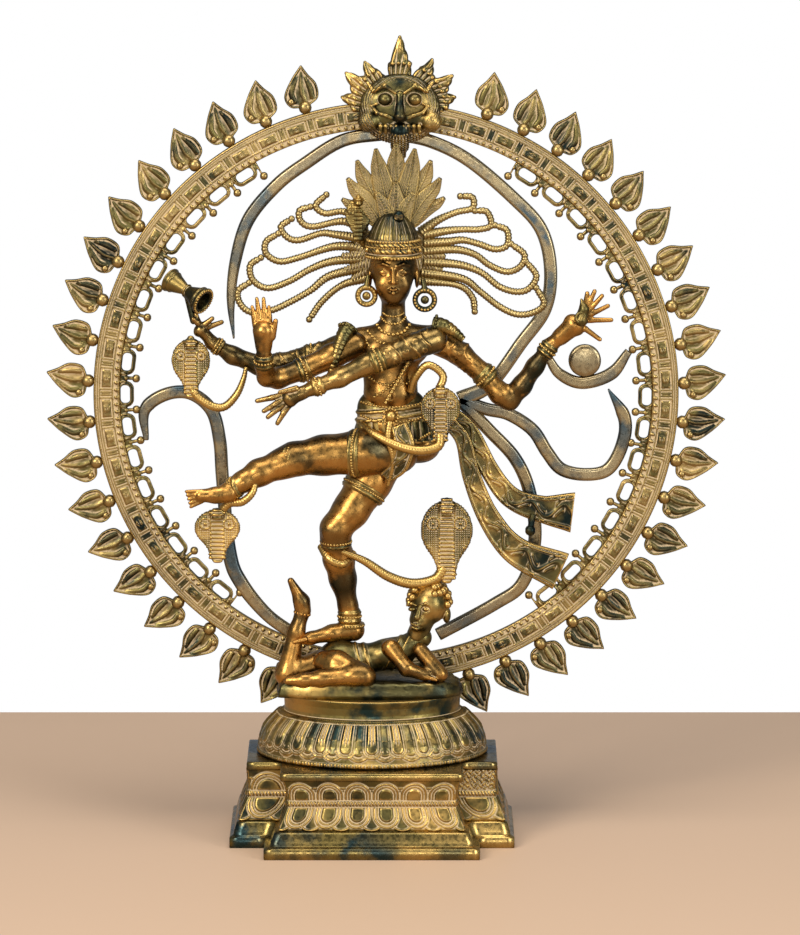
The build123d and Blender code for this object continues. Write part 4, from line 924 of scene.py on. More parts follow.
HAIR_PLANE = 14.0
HAIR_LEFT = (
    ((-4, 350), (-20, 361), (-35, 360), (-42, 366), (-34, 374)),
    ((-4, 346), (-21, 354), (-44, 350), (-53, 354), (-54, 362), (-46, 365)),
    ((-6, 341), (-27, 344), (-38, 345), (-54, 340), (-63, 342), (-68, 350), (-60, 356)),
    ((-6, 334), (-28, 335), (-54, 327), (-69, 324), (-79, 330), (-79, 339), (-70, 345)),
    ((-4, 326), (-29, 324), (-46, 318), (-62, 309), (-78, 304), (-89, 310), (-91, 321), (-83, 327)),
    ((-2, 320), (-31, 313), (-46, 302), (-62, 293), (-76, 287), (-91, 286), (-99, 293), (-100, 302),
        (-92, 308)),
    ((-2, 312), (-22, 306), (-37, 294), (-47, 280)),
)
HAIR_RIGHT = (
    ((36, 346), (49, 355), (63, 361), (75, 364), (75, 372), (66, 373)),
    ((38, 344), (55, 347), (68, 348), (80, 348), (89, 351), (86, 361), (77, 362)),
    ((38, 338), (57, 339), (68, 340), (80, 337), (92, 333), (101, 336), (101, 347), (92, 351)),
    ((38, 332), (62, 333), (77, 329), (88, 321), (101, 316), (111, 320), (114, 329), (104, 337)),
    ((38, 324), (62, 322), (74, 319), (84, 314), (95, 305), (107, 301), (117, 303), (123, 313),
        (115, 324)),
    ((36, 316), (67, 311), (81, 301), (95, 290), (108, 284), (120, 285), (129, 292), (123, 304)),
    ((34, 310), (64, 306), (75, 297), (77, 286)),
)


def lock_radius(travelled, total, turn):
    ribs = 0.62 * np.abs(np.sin(pi * travelled / 2.4))
    end = np.clip((total - travelled) / 3.0, 0.35, 1) ** 0.5
    return (2.15 + ribs + 1.5 * np.clip(1 - travelled / (0.42 * total), 0, 1)) * end


def make_hair(name, locks, side):
    parts = []
    for lock in locks:
        line = [at(x, z, HAIR_PLANE - 1.5 * np.sin(0.05 * x)) for x, z in lock]
        parts.append(tube(line, lock_radius, step=0.6, around=12))
        parts.append(beads([line[-1]], 2.7))
    inner, outer = (17.0, -30) if side < 0 else (15.0, 62)
    root = Clay(at(min(inner, outer) - 3, 296, 8), at(max(inner, outer) + 3, 358, 19), 0.7)
    spread = [(0.0, 349), (0.25, 343), (0.5, 336), (0.75, 328), (0.6, 318), (0.3, 311)]
    for share, z in spread:
        x = inner + (outer - inner) * (0.55 + 0.35 * share)
        root.add(rod(at(inner, 330, 13), at(x, z, 14), 5.5, 2.6), blend=3)
    comb = carve(root.mesh(), lambda x, y,
        z: 0.5 * np.sin(2 * pi * np.hypot(x - 16, z - TOP - 320) / 2.4))
    piece(name, join([comb] + parts), HAIR_LOOK, name)


def hand(clay, heel, knuckles, tips, palm, finger, width_axis=None, spacing=2.6):
    """Palm and fingers; each finger runs from its own knuckle with a slight bend."""
    heel, knuckles = np.array(heel), np.array(knuckles)
    clay.add(rod(heel, knuckles, palm * 0.86, palm), blend=1.5)
    along = (knuckles - heel) / np.linalg.norm(knuckles - heel)
    across = np.cross(along, (0, 1, 0)) if width_axis is None else np.array(width_axis, float)
    across /= np.linalg.norm(across)
    clay.add(rod(knuckles - across * palm * 0.45, knuckles + across * palm * 0.45, palm * 0.72,
        palm * 0.72), blend=2)
    for tip, shift in tips:
        tip = np.array(tip)
        root = knuckles + across * shift * spacing
        middle = root + (tip - root) * 0.5 + along * 0.8
        clay.add(rod(root, middle, finger * 1.25, finger * 1.15),
            rod(middle, tip, finger * 1.15, finger * 0.9), blend=0.7)


def make_arms():
    clay = Clay(at(-140, 230, -16), at(0, 300, 16))
    clay.add(*chain((at(-12, 265, 2), 10.5), (at(-26, 259, 3), 9.6), (at(-48, 253, 4), 7.8),
        (at(-70, 248, 4), 7.4),
                    (at(-84, 247, 3), 7.2), (at(-104, 255, 0), 6.4), (at(-119, 264.5, -3),
                        4.6), (at(-124, 271, -4), 4.2)), blend=4)
    hand(clay, at(-123, 270, -4), at(-128, 275, -6),
         [(at(-133, 284, -11), -1.0), (at(-131, 287, -9), -0.3), (at(-119, 284, -8), 0.5),
             (at(-112, 281, -6), 1.2)], 4.6, 2.0)
    brocade = lambda x, y, z: scroll(x, z, 4.0) * (x < -22) * (x > -72)
    piece("arm_with_drum", carve(clay.mesh(), brocade), DARK_SKIN, "arm_with_drum")

    clay = Clay(at(-98, 232, -50), at(0, 310, 2))
    clay.add(*chain((at(-12, 264, -9), 9.6), (at(-30, 256, -13), 9.0), (at(-50, 247.5, -17), 8.0),
        (at(-70, 241, -22), 7.4),
                    (at(-78, 243, -28), 6.8), (at(-80, 252, -34), 6.0), (at(-80, 262, -38),
                        5.4)), blend=4)
    clay.add(rod(at(-80, 268, -38), at(-80, 279, -38.5), 6.4, 8.2), blend=2)
    for tip, x, z in ((at(-88.5, 297, -38), -86, 283), (at(-85, 303, -37), -82.6, 284),
        (at(-80, 303, -37), -79, 284),
                      (at(-76, 297, -38), -75.6, 283)):
        root = at(x, z, -38)
        clay.add(rod(root, (root + tip) / 2, 2.5, 2.1), rod((root + tip) / 2, tip, 2.1, 1.4), blend=0.5)
    clay.add(rod(at(-74, 275, -40), at(-71, 287, -42), 3.2, 1.9), blend=1.5)
    piece("arm_blessing", clay.mesh(), SKIN, "arm_blessing")

    clay = Clay(at(-96, 204, -52), at(60, 284, 6))
    clay.add(*chain((at(46, 268, -8), 10.4), (at(30, 264, -17), 9.4), (at(12, 258, -23), 8.6),
        (at(-4, 252, -27), 7.6),
                    (at(-24, 243, -33), 6.8), (at(-42, 236.5, -36), 5.2), (at(-53, 231.8, -37),
                        4.8)), blend=4)
    hand(clay, at(-52, 232, -37), at(-61, 228.5, -38),
         [(at(-85, 226.5, -38), -1.35), (at(-80, 219.5, -42), -0.5), (at(-77, 215, -42), 0.4),
             (at(-70, 210, -40), 1.3)], 5.8, 2.0)
    clay.add(rod(at(-56, 236, -40), at(-68, 234, -45), 2.6, 1.7), blend=1)
    piece("arm_across_chest", carve(clay.mesh(), lambda x, y, z: scroll(x, z, 4.6) * (x > 4) * (x < 44)),
        DARK_SKIN,
          "arm_across_chest")

    clay = Clay(at(36, 208, -18), at(184, 312, 18))
    clay.add(*chain((at(46, 267, 3), 10.8), (at(66, 255.5, 4), 8.4), (at(84, 240, 2), 7.6),
        (at(96, 226, 0), 7.8),
                    (at(103, 221, 0), 7.0), (at(112, 232, -1), 7.2), (at(122, 247, -2),
                        6.4), (at(133, 263, -4), 5.0), (at(142, 271, -5), 5.6)), blend=4)
    hand(clay, at(141, 270, -5), at(151, 279, -7),
         [(at(160.5, 303, -8), -2.0), (at(166, 304.5, -8), -1.2), (at(171.5, 301, -8), -0.4),
             (at(176, 293.5, -8), 0.5),
          (at(178.5, 283, -9), 1.3), (at(170, 268.5, -10), 2.0)], 7.6, 1.9)
    piece("arm_with_flame", carve(clay.mesh(), lambda x, y, z: scroll(x, z, 4.0) * (x > 52) * (x < 74)),
        SKIN, "arm_with_flame")


def make_torso():
    clay = Clay(at(-22, 168, -28), at(62, 296, 28))
    clay.add(blob(at(17, 262, -3), (26, 14.5, 18)))
    for shape in (rod(at(-8, 268, -1), at(44, 269, -1), 8.6, 9), blob(at(14, 240, -2), (20.5, 13, 18)),
                  blob(at(14, 226, -4), (20, 13.5, 13)), blob(at(17, 203, -2),
                      (26, 17, 18)), blob(at(19, 187, -2), (25, 17, 14)),
                  blob(at(38, 188, 3), (14, 17, 14)), rod(at(16, 276, -3), at(16, 292, -3), 10, 8.6)):
        clay.add(shape, blend=7)
    for side in (-1, 1):
        clay.add(blob(at(17 + side * 12, 261, -12), (10.5, 6, 8)), blend=3)
    clay.add(blob(at(6, 262.5, -18.2), (1.2, 1.4, 1.2)), blend=0.6)
    clay.cut(blob(at(14, 226, -18.5), (1.6, 2.2, 2.2)), blend=1)
    piece("torso", clay.mesh(), SKIN, "torso")
    return clay


def make_legs():
    clay = Clay(at(-62, 36, -30), at(32, 200, 24))
    clay.add(*chain((at(10, 180, 0), 17.5), (at(-2, 160, -4), 16.2), (at(-16, 139, -10), 13.2),
        (at(-27, 126, -14), 11.2),
                    (at(-27.5, 116, -12), 10.2), (at(-25, 102, -7), 11.2), (at(-22, 86, -4),
                        9.6), (at(-18, 64, -2), 6.8),
                    (at(-17, 52, -1), 7.0)), blend=5)
    clay.add(blob(at(-31, 125, -21), (6, 4, 6.4)), blend=3)
    clay.add(*chain((at(-14, 46, -1), 8.4), (at(-30, 44.5, -6), 6.4), (at(-46, 41.5, -9), 4.6),
        (at(-55, 40, -10), 3.6)), blend=3)
    for step in range(4):
        clay.add(rod(at(-50, 41.5, -14.5 + 2.9 * step), at(-58.5 + 0.9 * step, 39.6, -16 + 3.4 * step),
            2.1, 1.6), blend=0.6)
    piece("standing_leg", clay.mesh(), SKIN, "standing_leg")

    clay = Clay(at(-142, 144, -62), at(36, 206, 14))
    clay.add(*chain((at(18, 184, -8), 17.5), (at(-6, 184, -15), 17.0), (at(-36, 183, -22), 14.4),
        (at(-58, 181, -28), 12.2),
                    (at(-67, 178, -31), 10.6), (at(-84, 172, -36), 9.6), (at(-96, 166, -41),
                        7.4), (at(-106, 161, -44), 6.2)), blend=5)
    clay.add(*chain((at(-106, 158, -45), 6.8), (at(-116, 157, -47), 5.8), (at(-127, 157, -49), 4.8)),
        blend=3)
    for step in range(5):
        clay.add(rod(at(-126, 160.5 - 1.9 * step, -50), at(-137.5 + 0.8 * step, 160.5 - 2.9 * step, -51),
            1.7, 1.3), blend=0.5)
    piece("raised_leg", clay.mesh(), SKIN, "raised_leg")


def make_damaru():
    clay = Clay(at(-164, 276, -24), at(-112, 326, 14), 0.55)
    front, back = at(-126, 298, -13), at(-150, 311, 4)
    middle = (front + back) / 2
    clay.add(rod(front, middle, 10.4, 3.6), rod(middle, back, 3.6, 9.0))
    axis = (front - back) / np.linalg.norm(front - back)

    def beyond(point, direction):
        d = np.array(direction, float)
        return (
            (lambda x, y, z: -((x - point[0]) * d[0] + (y - point[1]) * d[1] + (z - point[2]) * d[2])),
            np.array(point) - 16,
            np.array(point) + 16,
        )

    clay.cut(beyond(front + axis * 1.5, axis), beyond(back - axis * 1.5, -axis))
    clay.cut(rod(front + axis * 6, front - axis * 5, 8.2, 5.6))
    for spot, radius in ((front + axis * 0.6, 9.8), (front - axis * 3.2, 9.0), (middle, 4.4),
        (back - axis * 0.6, 8.6), (back + axis * 3, 7.6)):
        clay.add(hoop(spot, axis, radius, 0.9))
    clay.add(rod(middle, at(-133, 282, -7), 3.0, 2.6), blend=1.5)
    rim = around(front + axis * 1.2, axis, 9.4, 1.0)
    piece("damaru", join([clay.mesh(), rim]), RELIEF, "damaru")


def make_hand_flame():
    coil = [at(156 + 0.9 * t * cos(2.1 * t), 286 + 0.9 * t * sin(2.1 * t),
        -15.5 - 0.35 * t) for t in np.linspace(0.6, 5, 12)]
    spiral = tube(coil, lambda s, total, turn: 1.3 + 0 * s, step=0.6, around=8)
    clay = Clay(at(148, 276, -24), at(166, 303, -6), 0.55)
    clay.add(*chain((at(156, 284, -13), 5.4), (at(158, 292, -14), 3.6), (at(156, 299, -14), 1.0)),
        blend=2)
    piece("hand_flame", join([clay.mesh(), spiral]), RELIEF, "hand_flame")


# ---- dwarf and ground ----------------------------------------------------------------------------


def make_ground():
    outline = curve([(-70, -30, 0), (-40, -37, 0), (10, -38, 0), (50, -34, 0), (66, -20, 0), (66, 4, 0),
        (52, 16, 0),
                     (0, 18.5, 0), (-50, 17, 0), (-70, 6, 0), (-70, -30, 0)], 1.2)[:-1, :2]
    rows = []
    for share, z in ((0.02, 0.1), (0.5, 0.1), (1.0, 0.1), (1.0, 3), (0.985, 6), (0.97, 9), (0.93, 11),
        (0.88, 12), (0.5, 12), (0.02, 12)):
        wave = 1 + 0.012 * np.sin(np.arange(len(outline)) * 0.55 + z)
        rows.append(np.column_stack([outline * share * wave[:, None], np.full(len(outline), TOP + z)]))
    piece("ground_slab", grid_mesh(np.array(rows), wrap_columns=True), RELIEF, "ground_slab")


def make_dwarf():
    clay = Clay(at(-44, 6, -26), at(54, 54, 12))
    clay.add(blob(at(-24, 26, -8), (17, 14, 14)), blob(at(-6, 25, -8), (14, 12, 12)),
        blob(at(12, 29, -8), (15, 12, 12)),
             rod(at(22, 31, -8), at(37, 42, -9), 11, 8), blend=6)
    belt = carve(clay.mesh(), lambda x, y,
        z: 1.0 * ridge(x + 0.3 * z, -3 + 0.3 * (TOP + 25), 1.6) + 0.8 * ridge(x + 0.3 * z,
        -9 + 0.3 * (TOP + 25), 1.0)
                 + 0.8 * ridge(x - 0.5 * z, 22 - 0.5 * (TOP + 32), 1.5) + 0.7 * ridge(x - 0.5 * z,
                     16 - 0.5 * (TOP + 32), 0.9))
    piece("dwarf_body", belt, RELIEF, "dwarf_body")

    clay = Clay(at(22, 42, -32), at(62, 96, 12), 0.55)
    clay.add(blob(at(43, 68, -12), (14, 14.5, 15)))
    clay.add(blob(at(36, 57, -17), (8, 9, 8)), blend=4)
    clay.add(rod(at(38, 54, -12), at(34, 44, -10), 8, 8), blend=3)
    clay.add(rod(at(36, 68, -25.5), at(33.5, 61, -28.5), 2.0, 2.8), blend=1.5)
    for x in (29.5, 40):
        clay.cut(blob(at(x, 66.5, -27), (3.6, 3, 2.4)), blend=1)
        clay.add(blob(at(x + 0.5, 66.5, -24.0), (3.0, 2.6, 1.9)), blend=0.4)
        clay.add(*chain((at(x - 3.4, 69.6, -25.5), 0.8), (at(x, 71.2, -26.5), 0.9),
            (at(x + 3.6, 69.6, -25.5), 0.7)), blend=0.8)
    clay.add(*chain((at(29.5, 55.5, -24.5), 0.8), (at(33, 54.6, -26), 1.2), (at(37.5, 55, -25), 0.8)),
        blend=0.6)
    clay.add(*chain((at(30, 52.6, -23.5), 0.8), (at(33.5, 51.6, -24.5), 1.2),
        (at(37, 52.4, -23.8), 0.8)), blend=0.6)
    clay.add(blob(at(56, 60, -12), (3.2, 6.5, 6.5)), blend=1)
    hair = []
    for row in range(5):
        for turn in np.radians(np.arange(-70, 200, 22) + 11 * (row % 2)):
            ring_r = 15.2 * cos(0.36 * row)
            spot = at(43 + ring_r * cos(turn), 70 + 14.5 * sin(0.36 * row) + 0.2 * ring_r * sin(turn),
                -11 + ring_r * sin(turn))
            if spot[1] > -18 or row > 1:
                hair.append(spot)
    piece("dwarf_head", join([clay.mesh(), beads(hair, 3.0)]), RELIEF, "dwarf_head")

    clay = Clay(at(-68, 4, -44), at(10, 40, -4))
    clay.add(*chain((at(-36, 25, -16), 8.4), (at(-27, 23, -20), 11), (at(-8, 17, -29), 8.8),
        (at(-4, 16, -31), 7)), blend=4)
    clay.add(*chain((at(-6, 17, -32), 7.4), (at(-14, 17, -32), 7.6), (at(-38, 15, -32.5), 6.4),
        (at(-52, 14, -33), 4.8),
                    (at(-63, 13.5, -33), 3.2)), blend=3)
    piece("dwarf_lower_leg", clay.mesh(), SKIN, "dwarf_lower_leg")

    clay = Clay(at(-76, 2, -22), at(-22, 92, 10))
    clay.add(*chain((at(-34, 22, -2), 11), (at(-64, 14, -10), 8.4), (at(-57, 46, -8), 6),
        (at(-52, 62, -6), 5.2),
                    (at(-53, 69, -6), 5.6), (at(-61, 85, -8), 2.6)), blend=4)
    ankle = around(at(-52.5, 60, -6), (0.2, 0, 1), 5.6, 1.2)
    piece("dwarf_raised_leg", join([clay.mesh(), ankle]), SKIN, "dwarf_raised_leg")

    clay = Clay(at(4, 4, -38), at(62, 46, -6))
    clay.add(*chain((at(14, 36, -20), 7.2), (at(26, 22, -28), 5.6), (at(40, 16.5, -27), 4.6)), blend=3)
    clay.add(*chain((at(36, 34, -18), 5.8), (at(51, 17, -25), 6.2)), blend=3)
    for step in range(4):
        clay.add(rod(at(40, 16, -24 - 2.2 * step), at(48, 14, -24 - 2.6 * step), 1.9, 1.4), blend=0.6)
    piece("dwarf_arms", clay.mesh(), SKIN, "dwarf_arms")


# ---- dress ---------------------------------------------------------------------------------------


# each row of necklace beads: height of its ends, how far its middle sags, half its width, bead radius
NECKLACE_ROWS = ((288, 2, 7.5, 1.0), (284.5, 4, 9, 1.2), (279, 6, 12, 1.6), (274.5, 9, 19, 1.4),
    (271, 14, 23, 1.1))


def make_dress(torso):
    clay = Clay(at(-20, 180, -30), at(58, 232, 28))
    clay.add(blob(at(15, 216, -2.5), (26, 12, 17.5)), blob(at(18, 200, -2.5), (29.5, 15, 20.5)),
        blob(at(19, 192, -3), (30, 11, 20.5)), blend=8)
    pleats = carve(clay.mesh(), lambda x, y, z: 0.9 * np.abs(np.sin(x / 1.9 + 0.05 * z)) * (z < TOP + 208)
                   + 1.3 * ridge(z - 0.12 * x, TOP + 214, 1.2) + 1.3 * ridge(z - 0.12 * x, TOP + 208,
                       1.0) + 1.0 * ridge(z, TOP + 192, 1.2))
    parts = [pleats]
    for z, sag in ((221, 3), (211, 4), (197, 7), (190, 9)):
        parts.append(bead_string([at(-8, z, -12), at(2, z - sag * 0.7, -20), at(16, z - sag, -24),
            at(32, z - sag * 0.6, -21),
                                  at(43, z + 1, -10)], 1.25, clay))
    parts.append(tube([at(14, 212, -24), at(12, 196, -27), at(16, 178, -25), at(12, 160, -20)], lambda s,
        total, turn:
                 2.6 - 1.4 * s / total + 0.5 * np.abs(np.sin(s * 1.6)), step=0.7, around=10))
    parts.append(beads([at(14, 213, -25)], 4.6))
    parts.append(around(at(14, 213, -26), (0, 1, 0), 5.6, 1.1))
    fold = [at(20, 206, -24), at(24, 192, -27), at(20, 176, -25), at(10, 166, -20)]
    parts.append(strap(fold, [13, 16, 15, 10], 3.0, relief=sash_relief, step=0.8, across=0.75))
    for x, z, size in ((2, 206, 4.0), (30, 205, 4.4), (39, 200, 3.6)):
        y = front_of(clay, x, z)
        parts.append(beads([at(x, z, y + 0.4)], size * 0.55))
        parts.append(around(at(x, z, y - 0.2), (0, 1, 0), size, 0.9))
    piece("girdle", join(parts), RELIEF, "girdle")

    rows = []
    for z, sag, half, r in NECKLACE_ROWS:
        rows.append(bead_string([at(16 - half, z, -8), at(16 - half * 0.6, z - sag * 0.75, -14),
            at(16, z - sag, -17),
                                 at(16 + half * 0.6, z - sag * 0.75, -14), at(16 + half, z,
                                     -8)], r, torso))
    rows.append(beads([at(16 + dx, 263.5 - abs(dx) * -0.28,
        front_of(torso, 16 + dx, 263.5 + abs(dx) * 0.28) - 0.4)
                       for dx in (-16, -10.6, -5.3, 0, 5.3, 10.6, 16)], 2.0))
    rows.append(tube([at(30, 258, -16), at(20, 240, -19), at(10, 222, -21)], lambda s, total,
        turn: 1.5 + 0.4 * np.sin(s * 2), step=0.7, around=8))
    for side in (-1, 1):
        rows.append(bead_string([at(16 + side * 6, 262, -17), at(16 + side * 12, 257, -18),
            at(16 + side * 19, 259, -15)], 1.0, torso))
    rows.append(bead_string([at(34, 268, -14), at(27, 250, -18), at(16, 236, -18), at(2, 226, -16)], 1.3,
        torso))
    rows.append(bead_string([at(-2, 240, -14), at(6, 236, -17), at(16, 235, -18), at(27, 236, -16),
        at(33, 240, -12)], 1.1, torso))
    piece("necklace", join(rows), RELIEF, "necklace")

    ears = []
    for x, z, r in ((-4, 301, 6.4), (39.5, 298, 7.2)):
        hoop_clay = Clay(at(x - 12, z - 12, -18), at(x + 12, z + 14, 2), 0.5)
        hoop_clay.add(hoop(at(x, z, -8), (0, 1, 0), r, 2.1))
        hoop_clay.add(blob(at(x, z, -8), (3.2, 2.6, 3.2)))
        hoop_clay.add(rod(at(x, z + r, -8), at(x + (1.5 if x < 16 else -1.5), z + r + 9, -5), 2.2, 1.8),
            blend=1)
        ears.append(hoop_clay.mesh())
        ears.append(around(at(x, z, -9.5), (0, 1, 0), r + 0.3, 1.1))
    piece("ear_ornaments", join(ears), RELIEF, "ear_ornaments")

    def tassel(points, size):
        return tube(points, lambda s, total,
            turn: size * (1.15 - 0.75 * s / total) + 0.55 * np.abs(np.sin(turn * 5))
                    + 0.5 * np.abs(np.sin(s * 0.9)), step=0.6, around=24)

    piece("tassel_left", join([tassel([at(-17, 278, -9), at(-22, 270, -15), at(-27, 256, -19),
        at(-31, 241, -18)], 5.0),
                               around(at(-18, 277, -9), (0.4, 0.5, 1), 6.6, 1.3)]), RELIEF, "tassel_left")
    piece("tassel_right", join([tassel([at(46, 279, -6), at(54, 278, -8), at(61, 274, -8),
        at(68, 268, -7)], 5.2),
                                around(at(47, 279, -6), (1, 0, -0.2), 6.8, 1.3)]), RELIEF, "tassel_right")

    piece("armlets", join([band_round(at(x, z, y), axis, r, w) for (x, z, y), axis, r, w in (
        ((85, 239, 2), (1, 0, -0.95), 8.9, 6), ((-45, 254, 4), (1, 0, 0.1), 8.6, 6), ((4, 255, -26),
            (1, 0.2, 0.4), 8.6, 6),
        ((-51, 247, -17), (1, 0.2, 0.35), 8.8, 6))]), RELIEF, "armlets")
    piece("bangles", join([band_round(at(x, z, y), axis, r, w) for (x, z, y), axis, r, w in (
        ((131, 260, -4), (0.6, 0, 0.8), 6.4, 6), ((-80, 256, -36), (0, -0.3, 1), 6.6, 6),
        ((-40, 237, -36), (1, 0.1, 0.4), 6.4, 5), ((-115, 262, -2), (-0.8, 0, 0.5), 5.8,
            4))]), RELIEF, "bangles")
    piece("anklets", join([band_round(at(x, z, y), axis, r, w) for (x, z, y), axis, r, w in (
        ((-102, 162, -42.5), (0.9, -0.3, 0.4), 7.6, 5), ((-17, 57, -2), (0, 0, 1), 8.2,
            6), ((-16, 50, -1), (0, 0, 1), 9.4, 2))]),
          RELIEF, "anklets")
    piece("leg_bands", join([band_round(at(x, z, y), axis, r, w) for (x, z, y), axis, r, w in (
        ((-62, 180, -29), (1, -0.3, -0.2), 12.0, 5), ((-12, 184, -17), (1, -0.2, 0), 17.2, 5),
        ((-6, 154, -6), (0.5, 0.2, 0.85), 16.4, 5), ((-27, 116, -12), (0, -0.1, 1), 11.0,
            5))]), RELIEF, "leg_bands")


# ---- snakes --------------------------------------------------------------------------------------


def cobra(x, z, width, height, y, body, radius=3.0):
    """A hood with rings and a laddered belly strip, and its scaled body."""
    low, high = at(x - width * 0.62, z - height * 0.62, y - 9), at(x + width * 0.62, z + height * 0.66,
        y + 9)
    clay = Clay(low, high, 0.6)
    hw, hh = width / 2, height / 2
    clay.add(blob(at(x, z + 0.10 * height, y), (hw, 4.4, hh * 0.84)),
        rod(at(x, z - 0.1 * height, y), at(x, z - hh * 1.02, y), hw * 0.62, hw * 0.34),
             blend=5)
    depth = np.abs(clay.low[1] + clay.step * np.arange(clay.values.shape[1]) - y)[None, :, None]
    clay.values = np.maximum(clay.values, depth - 2.6)
    clay.add(blob(at(x, z + 0.44 * height, y - 3.0), (hw * 0.30, 3.4, hh * 0.26)), blend=2.0)
    spots = [(x + side * hw * 0.52, TOP + z + 0.20 * height) for side in (-1, 1)]

    def scales(px, py, pz):
        front = py < y - 1.5
        u = (px - x) / hw
        v = (pz - TOP - z - 0.10 * height) / (hh * 0.84)
        belly = np.abs(u) < 0.26 - 0.06 * v
        ladder = (0.55 + 0.55 * np.sin(pz * 2.1)) * belly + 0.7 * ridge(np.abs(u), 0.30, 0.05)
        rings = sum(0.9 * ridge(np.hypot(px - a, pz - b), 0.20 * width * 0.5 + 0.6,
            0.6) + 0.9 * ridge(np.hypot(px - a, pz - b), 0, 0.9) for a, b in spots)
        rim = 0.9 * ridge(np.hypot(u, v), 0.92, 0.06) * (v > -0.6) * ~belly
        weave = 0.35 * np.sin(px * 1.9 + pz * 1.9) * np.sin(px * 1.9 - pz * 1.9) * ~belly
        return (ladder + rings + rim + weave) * front + weave * ~front

    parts = [carve(clay.mesh(), scales)]
    if body:
        parts.append(tube([at(*p) for p in body], lambda s, total,
            turn: (radius + 0.45 * np.abs(np.sin(s * 1.5 + turn * 1.0)))
                          * (1 - 0.55 * (s / total) ** 3), step=0.6, around=14))
    return join(parts)


def make_snakes():
    piece("cobra_hair", cobra(-10, 358, 19, 30, 3, [(-9, 344, 3), (-6, 338, 5), (-2, 334, 7)], 2.4),
        RELIEF, "cobra_hair")
    piece("cobra_arm", cobra(-135, 249, 29, 38, -9,
        [(-135, 233, -9), (-131, 226, -10), (-120, 218.5, -11), (-110, 218, -11),
                             (-101, 227, -10), (-96, 238, -8), (-94, 247, -7)]), RELIEF, "cobra_arm")
    piece("cobra_waist", join([cobra(51, 216, 30, 37, -28,
        [(51, 200, -28), (49, 191, -30), (36, 188, -31), (20, 191, -29), (2, 199, -24),
        (-8, 206, -13)], 3.5),
                               tube([at(48, 230, -27), at(53, 243, -24), at(42, 251, -22),
                                   at(33, 242, -20), at(29, 230, -15)],
        lambda s, total, turn: 2.7 + 0.4 * np.abs(np.sin(s * 1.5 + turn)), step=0.6, around=12)]),
          RELIEF, "cobra_waist")
    piece("cobra_ankle", cobra(-115, 128, 34, 33, -40,
        [(-113, 142, -40), (-106, 150, -42), (-96, 152, -46), (-88, 160, -46),
        (-86, 172, -40)]), RELIEF, "cobra_ankle")
    piece("cobra_knee", join([cobra(56, 119, 39, 54, -12,
        [(54, 96, -12), (47, 87, -13), (30, 84, -14), (12, 90, -16), (-6, 102, -17),
        (-24, 110, -19)], 3.8),
                              tube([at(-38, 112, -10), at(-32, 104, -19), at(-22, 100, -19),
                                  at(-14, 106, -8)],
        lambda s, total, turn: 3.0 + 0.4 * np.abs(np.sin(s * 1.5 + turn)), step=0.6, around=12)]),
          RELIEF, "cobra_knee")


# ---- sashes --------------------------------------------------------------------------------------


def sash_relief(u, v, half):
    """Scrolls inside a hatched and plain double rim."""
    wave = np.sin(v / 4.2) * 0.42
    return (1.1 * ridge(np.abs(u), 0.94, 0.07) + 0.8 * ridge(np.abs(u), 0.74, 0.06) + 0.8 * ridge(u,
        wave, 0.16)
            + 0.6 * ridge(np.abs(u - wave), 0.34,
                0.12) * (np.sin(v / 2.1) > 0) + 0.5 * np.abs(np.sin(v * 1.7)) * (np.abs(u) > 0.80))


def make_sashes():
    upper = strap([at(56, 212, 8), at(66, 205, 9), at(75, 194, 10), at(88, 167, 10), at(104, 146, 10),
        at(126, 137, 10), at(151, 134, 10)],
                  [10, 12, 14, 15, 17, 21, 31], 4.2, relief=sash_relief, step=0.8, across=0.75)
    piece("sash_upper", upper, RELIEF, "sash_upper")
    lower = strap([at(52, 208, 3), at(62, 199, 4), at(69, 188, 4), at(75, 162, 4), at(88, 131, 4),
        at(108, 106, 4), at(142, 90, 4)],
                  [10, 12, 14, 16, 19, 24, 30], 4.2, relief=sash_relief, step=0.8, across=0.75)
    piece("sash_lower", lower, RELIEF, "sash_lower")
    piece("sash_link", join([beads([at(119, 121, 6)], 4.2),
        tube([at(119, 121, 7), at(121, 133, 8)], lambda s, total, turn: 2.4 + 0 * s, step=0.8,
        around=12)]), RELIEF, "sash_link")


# ---- mask and foot -------------------------------------------------------------------------------


